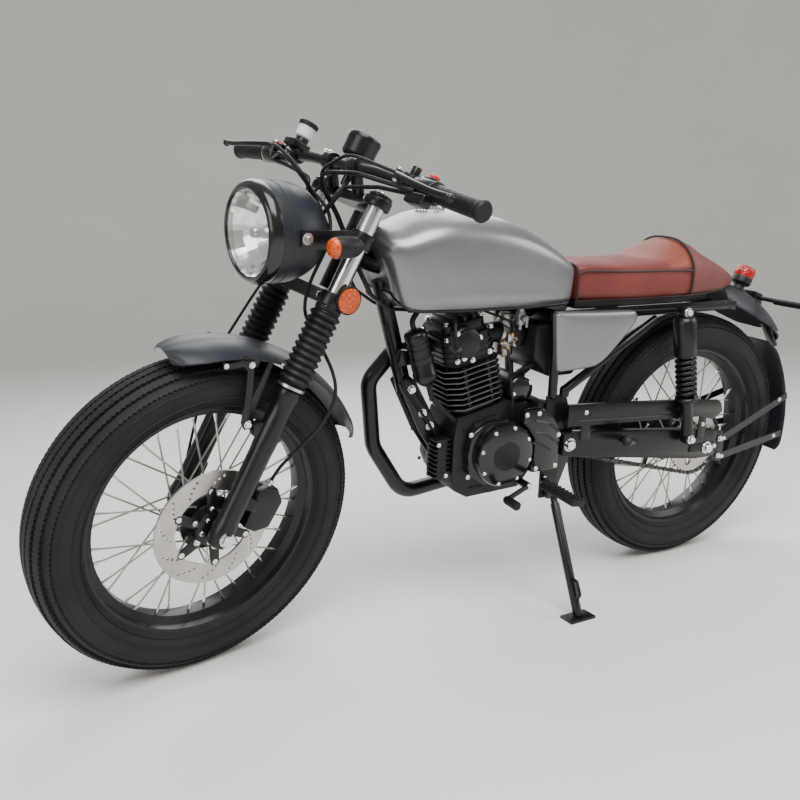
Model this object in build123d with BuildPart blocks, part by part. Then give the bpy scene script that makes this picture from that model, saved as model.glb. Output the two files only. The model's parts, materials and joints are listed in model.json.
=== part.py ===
from build123d import *
import os
from math import atan, cos, degrees, radians, sin, sqrt, tan

# Cafe racer motorcycle, parked on its side stand, in millimetres and degrees.
# The machine is modelled upright, with x forward from the rear axle's ground point, y to the left
# and z up from the ground. The steered pieces are modelled straight ahead, then turned about the
# head axis, and the whole machine is leaned onto its stand as it is written.

os.makedirs("parts", exist_ok=True)

# Stance
WHEELBASE = 1306
RAKE = 27
FORK_OFFSET = 60
LEAN = 7
STEER = 13
STAND_FOOT_X = 497
STAND_FOOT_Y = 253

# Clearances
FIT = 0.05
GAP = 0.3

# Wheels and tyres
TYRE_RADIUS = 336
TYRE_WIDTH = 124
RIM_RADIUS = 243
RIM_HOLE = 219
RIM_WIDTH = 76
TYRE_CROWN_WIDTH = 52
TYRE_BULGE_RADIUS = 290
SPOKE_COUNT = 36
SPOKE_RADIUS = 2
SPOKE_LEAD = 40
SPOKE_STAGGER = 6
SPOKE_NIPPLE_Y = 7
SPOKE_HEAD_INSET = 6
FLANGE_RADIUS = 57
FLANGE_HALF = 33
FLANGE_THICK = 5
HUB_RADIUS = 27
AXLE_RADIUS = 7.5
AXLE_NUT_RADIUS = 13
AXLE_NUT_THICK = 12
DRUM_RADIUS = 76
DRUM_INNER = -8
DRUM_OUTER = -46
BRAKE_PLATE_OUTER = -60

# Front brake
DISC_RADIUS = 122
DISC_Y = 58
DISC_THICK = 4.5
CARRIER_WINDOW_RADIUS = 62
CARRIER_WINDOW = 28
CARRIER_ARMS = 6
AXLE_SPACER_RADIUS = 13

# Final drive
CHAIN_Y = 76
CHAIN_HEIGHT = 11
CHAIN_WIDTH = 12
CHAIN_TURN_SIDES = 24
REAR_PITCH_RADIUS = 85
FRONT_PITCH_RADIUS = 33
FRONT_SPROCKET_X = 528
FRONT_SPROCKET_Z = 428
SPROCKET_TEETH = 38
SPROCKET_THICK = 5
SPROCKET_ARMS = 5
SPROCKET_WINDOW_RADIUS = 50
SPROCKET_WINDOW = 22

# Front fork, measured along the legs from the front axle
LEG_Y = 92
STANCHION_RADIUS = 17
SLIDER_RADIUS = 23
SLIDER_FOOT = -24
SLIDER_TOP = 312
SLIDER_BORE_DEPTH = 45
GAITER_TOP = 486
GAITER_RADIUS = 31
GAITER_VALLEY = 25.5
GAITER_RIBS = 8
LOWER_YOKE_BOTTOM = GAITER_TOP
LOWER_YOKE_THICK = 28
HEADSTOCK_GAP = 6
HEADSTOCK_LENGTH = 166
HEADSTOCK_RADIUS = 29
STEM_RADIUS = 13
UPPER_YOKE_THICK = 20
YOKE_BOSS = 9
FORK_CAP = 6
BAR_RADIUS = 11
BAR_X = 46
BAR_Z = 746
BAR_STRAIGHT = 110
BAR_HALF = 398
BAR_DROP = 21
BAR_SWEEP = 6
RISER_Y = 42
RISER_RADIUS = 12
CLAMP_RADIUS = 18
CLAMP_WIDTH = 26
GRIP_LENGTH = 122
GRIP_RADIUS = 16.5

# Frame tubes
BACKBONE_RADIUS = 21
BACKBONE_UP = 600
DOWN_TUBE_RADIUS = 18
DOWN_TUBE_TOP_X = 919
DOWN_TUBE_FOOT = (841, 545)
TUBE_RADIUS = 12.5
STRUT_RADIUS = 11
RAIL_Y = 95
RAIL_Z = 708
RAIL_FRONT = 520
RAIL_REAR = -20
RAIL_CROSS_INSET = 18
RAIL_CROSS_RADIUS = 11
DIAGONAL_TOP_X = 210
STRUT_FOOT_Z = 520
PIVOT_X = 458
PIVOT_Z = 404
PIVOT_BOLT_RADIUS = 8
PIVOT_PLATE_INNER = 84
PLATE_THICK = 6

# Swingarm and shocks
ARM_INNER = 91
ARM_WIDTH = 26
ARM_HEIGHT = 56
ARM_NOSE = 18
ARM_TAIL = 34
ARM_TAIL_TOP = 46
BRIDGE_RADIUS = 17
BRIDGE_X = 398
BRIDGE_Z = 393
SHOCK_Y = 138
SHOCK_TOP_X = 165
SHOCK_TOP_Z = RAIL_Z
SHOCK_BOTTOM_X = 96
SHOCK_BOTTOM_Z = 380
SHOCK_STUD_RADIUS = 7
SHOCK_EYE_RADIUS = 15
SHOCK_EYE_WIDTH = 22
SHOCK_CAN_RADIUS = 27
SHOCK_CAN_END = 112
SHOCK_SPRING_RADIUS = 26
SHOCK_SPRING_END = 218
SHOCK_SPRING_TURNS = 5
SHOCK_STEM_RADIUS = 15

# Engine
CASE_HALF = 64
CASE_FRONT = 745
CYLINDER_BASE_X = 676
CYLINDER_BASE_Z = 500
CYLINDER_TILT = 13
FIN_COUNT = 8
FIN_PITCH = 13
FIN_THICK = 4
FIN_SIZE = 146
FIN_CORNER = 26
BARREL_SIZE = 104
HEAD_HEIGHT = 62
HEAD_SIZE = 132
ROCKER_HEIGHT = 36
CRANK_X = 635
CRANK_Z = 400
ALTERNATOR_RADIUS = 75

# Side stand
STAND_PIVOT_X = 488
STAND_PIVOT_Y = 100
STAND_PIVOT_Z = 282
STAND_LEG_RADIUS = 11
STAND_NECK_RADIUS = 8.5
STAND_BOLT_RADIUS = 5
STAND_FOLD_OUT = 0.13
KNUCKLE_RADIUS = 13
KNUCKLE_LENGTH = 18
STAND_FOOT_LENGTH = 70
STAND_FOOT_WIDTH = 42
STAND_FOOT_THICK = 6

# Fork direction, from the axle up the legs, and the placing of the steered pieces
rake_sin = sin(radians(RAKE))
rake_cos = cos(radians(RAKE))
AXLE_Z = TYRE_RADIUS
FORK_PLANE = Plane(
    origin=(WHEELBASE, 0, AXLE_Z),
    x_dir=(rake_cos, 0, rake_sin),
    z_dir=(-rake_sin, 0, rake_cos),
)
fork_frame = FORK_PLANE.location
head_axis = Axis(
    origin=(WHEELBASE - FORK_OFFSET * rake_cos, 0, AXLE_Z - FORK_OFFSET * rake_sin),
    direction=(-rake_sin, 0, rake_cos),
)
HEADSTOCK_LOW = LOWER_YOKE_BOTTOM + LOWER_YOKE_THICK + HEADSTOCK_GAP
HEADSTOCK_HIGH = HEADSTOCK_LOW + HEADSTOCK_LENGTH
UPPER_YOKE_BOTTOM = HEADSTOCK_HIGH + HEADSTOCK_GAP
UPPER_YOKE_TOP = UPPER_YOKE_BOTTOM + UPPER_YOKE_THICK


def from_fork(forward, left, up):
    """Point of the fork's own frame, as a point of the upright machine."""
    return FORK_PLANE.from_local_coords(Vector(forward, left, up))


def turned_about(axis, angle):
    """Location that turns a piece about an axis anywhere in space."""
    hub = Plane(origin=axis.position, z_dir=axis.direction).location
    return hub * Location((0, 0, 0), (0, 0, angle)) * hub.inverse()


# Half outline of a tyre: distance from the wheel's middle plane, and radius
TYRE_OUTLINE = [
    (TYRE_CROWN_WIDTH / 2, TYRE_RADIUS),
    (TYRE_WIDTH / 2, TYRE_BULGE_RADIUS),
    (RIM_WIDTH / 2, RIM_RADIUS + GAP),
]


def tyre_low(wheel):
    """Height of the lowest point of a tyre whose wheel frame has its axle along y."""
    axle = Plane(wheel).y_dir
    flat = sqrt(1 - axle.Z**2)
    heights = [
        wheel.position.Z + side * across * axle.Z - radius * flat
        for across, radius in TYRE_OUTLINE
        for side in (1, -1)
    ]
    return min(heights)


# The parked stance: leaned to the left, then pitched and lowered until both tyres rest at z = 0
steered = turned_about(head_axis, STEER)
rear_hub = Location((0, 0, AXLE_Z))
front_hub = steered * Location((WHEELBASE, 0, AXLE_Z))
leaned = Location((0, 0, 0), (-LEAN, 0, 0))
pitch = 0
for _ in range(4):
    tilted = Location((0, 0, 0), (0, pitch, 0)) * leaned
    rise = tyre_low(tilted * front_hub) - tyre_low(tilted * rear_hub)
    pitch = pitch + degrees(atan(rise / WHEELBASE))
tilted = Location((0, 0, 0), (0, pitch, 0)) * leaned
SHIFT_X = -638
SHIFT_Y = -142
stance = Location((SHIFT_X, SHIFT_Y, -tyre_low(tilted * rear_hub)))
parked = stance * tilted
PARKED_FRAME = parked
PARKED_STEERED = parked * steered
PARKED_FORK = parked * steered * fork_frame
PARKED_FRONT_WHEEL = parked * front_hub
PARKED_REAR_WHEEL = parked * rear_hub


def write(piece, name, place=PARKED_FRAME):
    """Label a finished piece, set it in its parked place and write its file."""
    placed = piece.part.moved(place)
    placed.label = name
    export_step(placed, f"parts/{name}.step")


# Sides of a bar that nothing turns or slides on, by its largest radius
BAR_SIDES = ((8, 8), (14, 12), (30, 16), (60, 24), (130, 36))


def sides_of(radius):
    """Count of flat sides that look round for a bar of that radius."""
    return next(sides for largest, sides in BAR_SIDES if radius <= largest)


def rod(start, end, radius, mode=Mode.ADD, exact=False, sides=0):
    """Straight bar between two points, added to or cut from the open part.

    A bore, and a bar that something turns or slides on, is a true cylinder. Others have flat sides.
    """
    line = Vector(*end) - Vector(*start)
    with BuildSketch(Plane(origin=start, z_dir=line)) as section:
        if exact or mode == Mode.SUBTRACT:
            Circle(radius)
        else:
            RegularPolygon(radius, sides or sides_of(radius))
    extrude(section.sketch, amount=line.length, mode=mode)


def pipe(points, bends, radius, mode=Mode.ADD, sides=0):
    """Tube along straight runs joined by tangent arcs, added to the open part."""
    with BuildLine() as route:
        FilletPolyline(*points, radius=bends)
    with BuildSketch(Plane(origin=route.line @ 0, z_dir=route.line % 0)) as section:
        if sides > 0:
            RegularPolygon(radius, sides)
        else:
            Circle(radius)
    sweep(section.sketch, path=route.line, mode=mode)


def side_plate(outline, start, end, corner=0, mode=Mode.ADD):
    """Plate with an outline of (x, z) points, between two values of y, in the open part."""
    with BuildSketch(Plane.XZ.offset(-start)) as face:
        with BuildLine():
            Polyline(*outline, close=True)
        make_face()
        if corner > 0:
            fillet(face.vertices(), corner)
    extrude(face.sketch, amount=start - end, mode=mode)


def ring(outline, arc=360, axis=Axis.Y, plane=Plane.YZ, mode=Mode.ADD):
    """Solid of revolution of an outline of (along the axle, radius) points, in the open part."""
    with BuildSketch(plane) as section:
        with BuildLine():
            Polyline(*outline, close=True)
        make_face()
    revolve(section.sketch, axis=axis, revolution_arc=arc, mode=mode)


def disc_plate(radius, start, end, x=0, z=0, mode=Mode.ADD, exact=False):
    """Round plate about a sideways axis through (x, z), between two values of y."""
    rod((x, start, z), (x, end, z), radius, mode, exact)


def skin(sections):
    """Closed solid through sections with the same count of points, with flat faces between them."""
    faces = [Face(Wire.make_polygon(section)) for section in (sections[0], sections[-1])]
    for lower, upper in zip(sections, sections[1:]):
        for index, corner in enumerate(lower):
            following = (index + 1) % len(lower)
            pair = (corner, lower[following], upper[following]), (corner, upper[following], upper[index])
            faces.extend(Face(Wire.make_polygon(triangle)) for triangle in pair)
    return Solid(Shell(faces))


# Tyres, full inside because the air space is closed
with BuildPart() as tyre:
    ring(TYRE_OUTLINE + [(-across, radius) for across, radius in reversed(TYRE_OUTLINE)])
write(tyre, "front_tyre", PARKED_FRONT_WHEEL)
write(tyre, "rear_tyre", PARKED_REAR_WHEEL)

# Rim: a ring with as many flats as spokes, or more
RIM_SIDES = 60


def rim():
    """Rim under the tyre, in the open part."""
    with BuildSketch(Plane.XZ.offset(-RIM_WIDTH / 2)) as band:
        RegularPolygon(RIM_RADIUS, RIM_SIDES)
        RegularPolygon(RIM_HOLE + GAP, RIM_SIDES, mode=Mode.SUBTRACT)
    extrude(band.sketch, amount=RIM_WIDTH)


def wheel_point(angle, across, radius):
    """Point of a wheel at an angle about its axle."""
    return Vector(radius * cos(radians(angle)), across, radius * sin(radians(angle)))


def lace_spokes(right_seat=None):
    """Crossed spokes between the hub's flanges and the rim, each just clear of both.

    The right-hand spokes start at a distance from the middle and a radius of their own where
    the hub's right flange is a drum.
    """
    for index in range(SPOKE_COUNT):
        side = 1 if index % 2 else -1
        outside = 1 if (index // 2) % 2 else -1
        angle = index * 360 / SPOKE_COUNT
        seat = side * (FLANGE_HALF + outside * SPOKE_STAGGER)
        nipple = side * (SPOKE_NIPPLE_Y + outside * SPOKE_STAGGER / 2)
        head_radius = FLANGE_RADIUS - SPOKE_HEAD_INSET
        if right_seat and side < 0:
            seat, head_radius = right_seat
            seat = seat + outside * SPOKE_STAGGER
        inner = wheel_point(angle + outside * SPOKE_LEAD, seat, head_radius)
        outer = wheel_point(angle, nipple, RIM_HOLE - SPOKE_RADIUS / 4 - GAP)
        line = outer - inner
        with BuildSketch(Plane(origin=inner, z_dir=line)) as section:
            RegularPolygon(radius=SPOKE_RADIUS, side_count=4)
        extrude(section.sketch, amount=line.length)


# Front wire wheel: hub barrel, two flanges and the disc seat on the left
FRONT_HUB_LEFT = DISC_Y - DISC_THICK / 2
FRONT_HUB_RIGHT = -52
with BuildPart() as front_wire_wheel:
    disc_plate(HUB_RADIUS, FRONT_HUB_RIGHT, FRONT_HUB_LEFT)
    for side in (1, -1):
        middle = side * FLANGE_HALF
        disc_plate(FLANGE_RADIUS, middle - FLANGE_THICK / 2, middle + FLANGE_THICK / 2)
    lace_spokes()
    rim()
    disc_plate(AXLE_RADIUS + FIT, FRONT_HUB_RIGHT - 1, FRONT_HUB_LEFT + 1, mode=Mode.SUBTRACT)
write(front_wire_wheel, "front_wire_wheel", PARKED_FRONT_WHEEL)

# Brake disc: steel ring and carrier in one plate, with six windows
with BuildPart() as brake_disc:
    with BuildSketch(Plane.XZ.offset(-FRONT_HUB_LEFT)) as disc_face:
        RegularPolygon(DISC_RADIUS, sides_of(DISC_RADIUS))
        Circle(AXLE_SPACER_RADIUS + 2, mode=Mode.SUBTRACT)
        with PolarLocations(CARRIER_WINDOW_RADIUS, CARRIER_ARMS):
            Rectangle(CARRIER_WINDOW, CARRIER_WINDOW, mode=Mode.SUBTRACT)
    extrude(disc_face.sketch, amount=-DISC_THICK)
write(brake_disc, "brake_disc", PARKED_FRONT_WHEEL)

# Rear wire wheel: brake drum on the right, sprocket seat on the left
REAR_HUB_LEFT = CHAIN_Y - SPROCKET_THICK / 2
DRUM_MIDDLE = (DRUM_INNER + DRUM_OUTER) / 2
with BuildPart() as rear_wire_wheel:
    disc_plate(HUB_RADIUS, DRUM_OUTER, REAR_HUB_LEFT)
    disc_plate(DRUM_RADIUS, DRUM_OUTER, DRUM_INNER)
    disc_plate(FLANGE_RADIUS, FLANGE_HALF - FLANGE_THICK / 2, FLANGE_HALF + FLANGE_THICK / 2)
    lace_spokes((DRUM_MIDDLE, DRUM_RADIUS + SPOKE_RADIUS + GAP))
    rim()
    disc_plate(AXLE_RADIUS + FIT, DRUM_OUTER - 1, REAR_HUB_LEFT + 1, mode=Mode.SUBTRACT)
write(rear_wire_wheel, "rear_wire_wheel", PARKED_REAR_WHEEL)

# Rear sprocket: toothed plate with square windows
TOOTH_TIP = REAR_PITCH_RADIUS - CHAIN_HEIGHT / 2 - 1
TOOTH_ROOT = TOOTH_TIP - 5
with BuildPart() as rear_sprocket:
    teeth = []
    for index in range(SPROCKET_TEETH):
        for step, radius in ((0, TOOTH_TIP), (0.5, TOOTH_ROOT)):
            angle = radians((index + step) * 360 / SPROCKET_TEETH)
            teeth.append((radius * cos(angle), radius * sin(angle)))
    with BuildSketch(Plane.XZ.offset(-REAR_HUB_LEFT)) as sprocket_face:
        with BuildLine():
            Polyline(*teeth, close=True)
        make_face()
        Circle(AXLE_SPACER_RADIUS + 2, mode=Mode.SUBTRACT)
        with PolarLocations(SPROCKET_WINDOW_RADIUS, SPROCKET_ARMS):
            Rectangle(SPROCKET_WINDOW, SPROCKET_WINDOW, mode=Mode.SUBTRACT)
    extrude(sprocket_face.sketch, amount=-SPROCKET_THICK)
write(rear_sprocket, "rear_sprocket", PARKED_REAR_WHEEL)

# Drive chain: one closed band around both sprockets
with BuildPart() as drive_chain:
    with BuildSketch(Plane.XZ.offset(-CHAIN_Y + CHAIN_WIDTH / 2)) as band:
        for grow, kind in ((1, Mode.ADD), (-1, Mode.SUBTRACT)):
            with BuildSketch(mode=kind):
                with Locations((0, AXLE_Z)):
                    RegularPolygon(REAR_PITCH_RADIUS + grow * CHAIN_HEIGHT / 2, CHAIN_TURN_SIDES)
                with Locations((FRONT_SPROCKET_X, FRONT_SPROCKET_Z)):
                    RegularPolygon(FRONT_PITCH_RADIUS + grow * CHAIN_HEIGHT / 2, CHAIN_TURN_SIDES)
                make_hull()
    extrude(band.sketch, amount=-CHAIN_WIDTH)
write(drive_chain, "drive_chain")


def both_sides(start, end):
    """The stretch of y between two distances from the middle, on the left and on the right."""
    return ((start, end), (-end, -start))


# Swingarm: two box arms, a bridge between them and the shocks' lower studs
ARM_OUTER = ARM_INNER + ARM_WIDTH
STUD_END = SHOCK_Y + SHOCK_EYE_WIDTH / 2 + 5
with BuildPart() as swingarm:
    arm = [
        (PIVOT_X + ARM_NOSE, PIVOT_Z - ARM_HEIGHT / 2),
        (PIVOT_X + ARM_NOSE, PIVOT_Z + ARM_HEIGHT / 2),
        (-ARM_TAIL, AXLE_Z + ARM_TAIL_TOP),
        (-ARM_TAIL, AXLE_Z - ARM_HEIGHT / 2),
        (ARM_TAIL, AXLE_Z - ARM_HEIGHT / 2),
    ]
    for start, end in both_sides(ARM_INNER, ARM_OUTER):
        side_plate(arm, start, end)
    for start, end in both_sides(ARM_OUTER, STUD_END):
        disc_plate(SHOCK_STUD_RADIUS, start, end, SHOCK_BOTTOM_X, SHOCK_BOTTOM_Z, exact=True)
    disc_plate(BRIDGE_RADIUS, -ARM_INNER, ARM_INNER, BRIDGE_X, BRIDGE_Z)
    for start, end in both_sides(ARM_INNER - 1, ARM_OUTER + 1):
        disc_plate(PIVOT_BOLT_RADIUS + FIT, start, end, PIVOT_X, PIVOT_Z, Mode.SUBTRACT)
        disc_plate(AXLE_RADIUS + FIT, start, end, 0, AXLE_Z, Mode.SUBTRACT)
write(swingarm, "swingarm")


def hexagon(radius, start, end, x, z):
    """Six-sided nut or bolt head about a sideways axis, between two values of y."""
    with BuildSketch(Plane.XZ.offset(-start)) as flats:
        with Locations((x, z)):
            RegularPolygon(radius=radius, side_count=6)
    extrude(flats.sketch, amount=start - end)


# Rear axle with its nuts and spacers, and the brake plate over the drum
with BuildPart() as rear_axle:
    disc_plate(AXLE_RADIUS, -ARM_OUTER, ARM_OUTER, 0, AXLE_Z, exact=True)
    disc_plate(AXLE_SPACER_RADIUS, REAR_HUB_LEFT + SPROCKET_THICK + 1, ARM_INNER, 0, AXLE_Z)
    disc_plate(AXLE_SPACER_RADIUS, -ARM_INNER, BRAKE_PLATE_OUTER, 0, AXLE_Z)
    for start, end in both_sides(ARM_OUTER, ARM_OUTER + AXLE_NUT_THICK):
        hexagon(AXLE_NUT_RADIUS, start, end, 0, AXLE_Z)
write(rear_axle, "rear_axle")

with BuildPart() as brake_plate:
    disc_plate(DRUM_RADIUS - 2, BRAKE_PLATE_OUTER + GAP, DRUM_OUTER - GAP, 0, AXLE_Z)
    disc_plate(AXLE_RADIUS + FIT, BRAKE_PLATE_OUTER - 1, DRUM_OUTER + 1, 0, AXLE_Z, Mode.SUBTRACT)
    disc_plate(8, BRAKE_PLATE_OUTER - 12, BRAKE_PLATE_OUTER + GAP, 0, AXLE_Z - 56)
    lever = [(-8, AXLE_Z - 50), (8, AXLE_Z - 50), (24, AXLE_Z - 124), (12, AXLE_Z - 126)]
    side_plate(lever, BRAKE_PLATE_OUTER - 17, BRAKE_PLATE_OUTER - 12)
write(brake_plate, "rear_brake_plate")

# Pivot plates inside the arms, joined by the pivot bolt
with BuildPart() as pivot_plates:
    outline = [
        (PIVOT_X - 26, PIVOT_Z - 40),
        (PIVOT_X - 26, PIVOT_Z + 44),
        (PIVOT_X + 2, STRUT_FOOT_Z),
        (PIVOT_X + 56, STRUT_FOOT_Z),
        (PIVOT_X + 56, PIVOT_Z - 60),
        (STAND_PIVOT_X + 24, STAND_PIVOT_Z - 16),
        (STAND_PIVOT_X - 20, STAND_PIVOT_Z - 16),
    ]
    for start, end in both_sides(PIVOT_PLATE_INNER, PIVOT_PLATE_INNER + PLATE_THICK):
        side_plate(outline, start, end)
    disc_plate(PIVOT_BOLT_RADIUS, -ARM_OUTER - 1, ARM_OUTER + 1, PIVOT_X, PIVOT_Z, exact=True)
    for start, end in both_sides(ARM_OUTER + GAP, ARM_OUTER + 9):
        hexagon(AXLE_NUT_RADIUS, start, end, PIVOT_X, PIVOT_Z)
write(pivot_plates, "pivot_plates")

# Seat rails with two cross tubes and the shocks' upper studs
with BuildPart() as seat_rails:
    for side in (1, -1):
        ends = [(RAIL_FRONT, side * RAIL_Y, RAIL_Z), (RAIL_REAR, side * RAIL_Y, RAIL_Z)]
        rod(*ends, TUBE_RADIUS, exact=True)
        stud = (SHOCK_TOP_X, side * RAIL_Y, SHOCK_TOP_Z)
        rod(stud, (SHOCK_TOP_X, side * STUD_END, SHOCK_TOP_Z), SHOCK_STUD_RADIUS, exact=True)
    for x in (RAIL_FRONT - RAIL_CROSS_INSET, RAIL_REAR + RAIL_CROSS_INSET):
        disc_plate(RAIL_CROSS_RADIUS, -RAIL_Y, RAIL_Y, x, RAIL_Z)
write(seat_rails, "seat_rails")

# Struts from the pivot plates to the rails, each just clear of both
STRUT_Y = PIVOT_PLATE_INNER + PLATE_THICK / 2
STRUT_TOP_Z = RAIL_Z - TUBE_RADIUS - GAP
with BuildPart() as rear_struts:
    for side in (1, -1):
        foot = (PIVOT_X + 40, side * STRUT_Y, STRUT_FOOT_Z + 1.3)
        rod(foot, (RAIL_FRONT - STRUT_RADIUS, side * RAIL_Y, STRUT_TOP_Z - 1), STRUT_RADIUS)
        heel = (PIVOT_X + 6, side * STRUT_Y, STRUT_FOOT_Z + STRUT_RADIUS - 1)
        rod(heel, (DIAGONAL_TOP_X, side * RAIL_Y, STRUT_TOP_Z - STRUT_RADIUS + 1.2), STRUT_RADIUS)
write(rear_struts, "rear_struts")

# Headstock and backbone, with the bore for the steering stem
TUNNEL_HALF = BACKBONE_RADIUS + 6
neck = from_fork(-FORK_OFFSET, 0, BACKBONE_UP)
cross = Vector(RAIL_FRONT - RAIL_CROSS_INSET, 0, RAIL_Z)
backbone_way = (neck - cross).normalized()
with BuildPart() as backbone:
    rod(cross + backbone_way * (RAIL_CROSS_RADIUS + GAP), neck, BACKBONE_RADIUS)
    low = from_fork(-FORK_OFFSET, 0, HEADSTOCK_LOW)
    high = from_fork(-FORK_OFFSET, 0, HEADSTOCK_HIGH)
    rod(low, high, HEADSTOCK_RADIUS)
    rod(low, high, STEM_RADIUS + FIT, Mode.SUBTRACT)
    for x in (640, 860):
        along = (x - cross.X) / backbone_way.X
        disc_plate(14, -TUNNEL_HALF + GAP, TUNNEL_HALF - GAP, x, cross.Z + backbone_way.Z * along)
write(backbone, "backbone_frame")

# Single down tube from under the backbone to the engine plates
top = cross + backbone_way * ((DOWN_TUBE_TOP_X - cross.X) / backbone_way.X)
foot = Vector(DOWN_TUBE_FOOT[0], 0, DOWN_TUBE_FOOT[1])
down_way = (foot - top).normalized()
meeting = radians(backbone_way.get_angle(down_way * -1))
lowered = (BACKBONE_RADIUS + GAP + DOWN_TUBE_RADIUS * abs(cos(meeting))) / sin(meeting)
with BuildPart() as down_tube:
    rod(top + down_way * lowered, foot, DOWN_TUBE_RADIUS)
write(down_tube, "down_tube")

with BuildPart() as engine_plates:
    outline = [(866, 566), (830, 572), (772, 470), (746, 430), (746, 372), (812, 452)]
    for start, end in both_sides(DOWN_TUBE_RADIUS + GAP, DOWN_TUBE_RADIUS + PLATE_THICK):
        side_plate(outline, start, end)
write(engine_plates, "engine_plates")

# Engine: crankcase with side covers, finned cylinder, head and rocker cover
deck_slope = tan(radians(CYLINDER_TILT))
STARTER_RADIUS = 30
STARTER_X = 572
STARTER_Z = 536
with BuildPart() as crankcase:
    outline = [
        (CASE_FRONT, 330),
        (CASE_FRONT, 430),
        (742, CYLINDER_BASE_Z - (742 - CYLINDER_BASE_X) * deck_slope),
        (606, CYLINDER_BASE_Z - (606 - CYLINDER_BASE_X) * deck_slope),
        (530, 500),
        (520, 330),
        (560, 288),
        (700, 288),
    ]
    side_plate(outline, -CASE_HALF, CASE_HALF, 8)
    disc_plate(STARTER_RADIUS, -40, 58, STARTER_X, STARTER_Z)
    mount_half = PIVOT_PLATE_INNER - GAP
    side_plate([(500, 474), (500, 502), (535, 502), (535, 474)], -mount_half, mount_half)
    disc_plate(12, CASE_HALF - 1, CHAIN_Y + 8, FRONT_SPROCKET_X, FRONT_SPROCKET_Z)
    sprocket_side = CHAIN_Y - SPROCKET_THICK / 2
    sprocket_radius = FRONT_PITCH_RADIUS - CHAIN_HEIGHT / 2 - 1
    disc_plate(
        sprocket_radius, sprocket_side, sprocket_side + SPROCKET_THICK, FRONT_SPROCKET_X, FRONT_SPROCKET_Z
    )
write(crankcase, "crankcase")

with BuildPart() as engine_covers:
    disc_plate(ALTERNATOR_RADIUS - 8, CASE_HALF, 92, CRANK_X + 12, CRANK_Z)
    disc_plate(ALTERNATOR_RADIUS, 92, 118, CRANK_X, CRANK_Z)
    clutch = [(742, 350), (742, 440), (690, 482), (560, 470), (532, 400), (560, 315), (690, 300)]
    side_plate(clutch, -104, -CASE_HALF, 22)
    sprocket_cover = [(482, 340), (482, 440), (536, 500), (592, 500), (556, 430), (560, 340)]
    side_plate(sprocket_cover, 91, 116, 8)
write(engine_covers, "engine_covers")

TILT_PLANE = Plane(
    origin=(CYLINDER_BASE_X, 0, CYLINDER_BASE_Z),
    x_dir=(cos(radians(CYLINDER_TILT)), 0, -sin(radians(CYLINDER_TILT))),
    z_dir=(sin(radians(CYLINDER_TILT)), 0, cos(radians(CYLINDER_TILT))),
)


def upright_block(size_x, size_y, start, height, corner=0, forward=0, left=0):
    """Block along the cylinder's axis, centred on it, with cut corners."""
    with BuildSketch(TILT_PLANE.offset(start)) as face:
        with Locations((forward, left)):
            Rectangle(size_x, size_y)
        if corner > 0:
            chamfer(face.vertices(), corner)
    extrude(face.sketch, amount=height)


CYLINDER_HEIGHT = 12 + FIN_COUNT * FIN_PITCH
with BuildPart() as finned_cylinder:
    upright_block(BARREL_SIZE, BARREL_SIZE, GAP, CYLINDER_HEIGHT - GAP, 24)
    for index in range(FIN_COUNT):
        upright_block(FIN_SIZE, FIN_SIZE, 14 + index * FIN_PITCH, FIN_THICK, FIN_CORNER)
write(finned_cylinder, "finned_cylinder")

with BuildPart() as cylinder_head:
    upright_block(HEAD_SIZE, HEAD_SIZE, CYLINDER_HEIGHT, HEAD_HEIGHT, 22)
    upright_block(HEAD_SIZE - 20, HEAD_SIZE - 26, CYLINDER_HEIGHT + HEAD_HEIGHT, ROCKER_HEIGHT, 16)
    disc_plate(31, HEAD_SIZE / 2 - 6, 88, 734, 659)
write(cylinder_head, "cylinder_head")

# Intake: carburettor with its manifold, and the air box behind it
with BuildPart() as intake:
    port = TILT_PLANE.from_local_coords(Vector(-HEAD_SIZE / 2 - GAP, 0, CYLINDER_HEIGHT + HEAD_HEIGHT / 2))
    outwards = TILT_PLANE.x_dir * -1
    rod(port, port + outwards * 10, 29)
    rod(port + outwards * 6, (590, 0, 660), 22)
    rod((600, 0, 662), (540, 0, 653), 30)
    rod((572, 0, 690), (572, 0, 604), 22)
    outline = [(545, 600), (545, 690), (420, 690), (396, 620), (430, 560), (500, 560)]
    side_plate(outline, -72, 72)
write(intake, "intake")

# Exhaust: header bowed out in front of the down tube, then under the engine to the right
HEADER_RADIUS = 18
HEADER_SIDES = 14
with BuildPart() as header:
    flange = Vector(HEAD_SIZE / 2 + GAP, -34, CYLINDER_HEIGHT + HEAD_HEIGHT / 2 + 6)
    outlet = TILT_PLANE.from_local_coords(flange)
    rod(outlet, outlet + TILT_PLANE.x_dir * 9, 28)
    route = [
        outlet + TILT_PLANE.x_dir * 5,
        (852, -40, 624),
        (908, -46, 560),
        (886, -60, 400),
        (800, -72, 266),
        (640, -112, 262),
        (430, -160, 292),
    ]
    pipe(route, [30, 48, 90, 80, 90], HEADER_RADIUS, sides=HEADER_SIDES)
    disc_plate(7, -142, -PIVOT_PLATE_INNER - PLATE_THICK - GAP, 472, 296)
write(header, "exhaust_header")

header_end = Vector(*route[-1])
header_way = (header_end - Vector(*route[-2])).normalized()
cone_end = header_end + header_way * 34
with BuildPart() as muffler:
    rod(header_end + header_way * GAP, cone_end, 26)
    rod(cone_end, (-40, -190, 322), 42)
write(muffler, "muffler")

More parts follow.
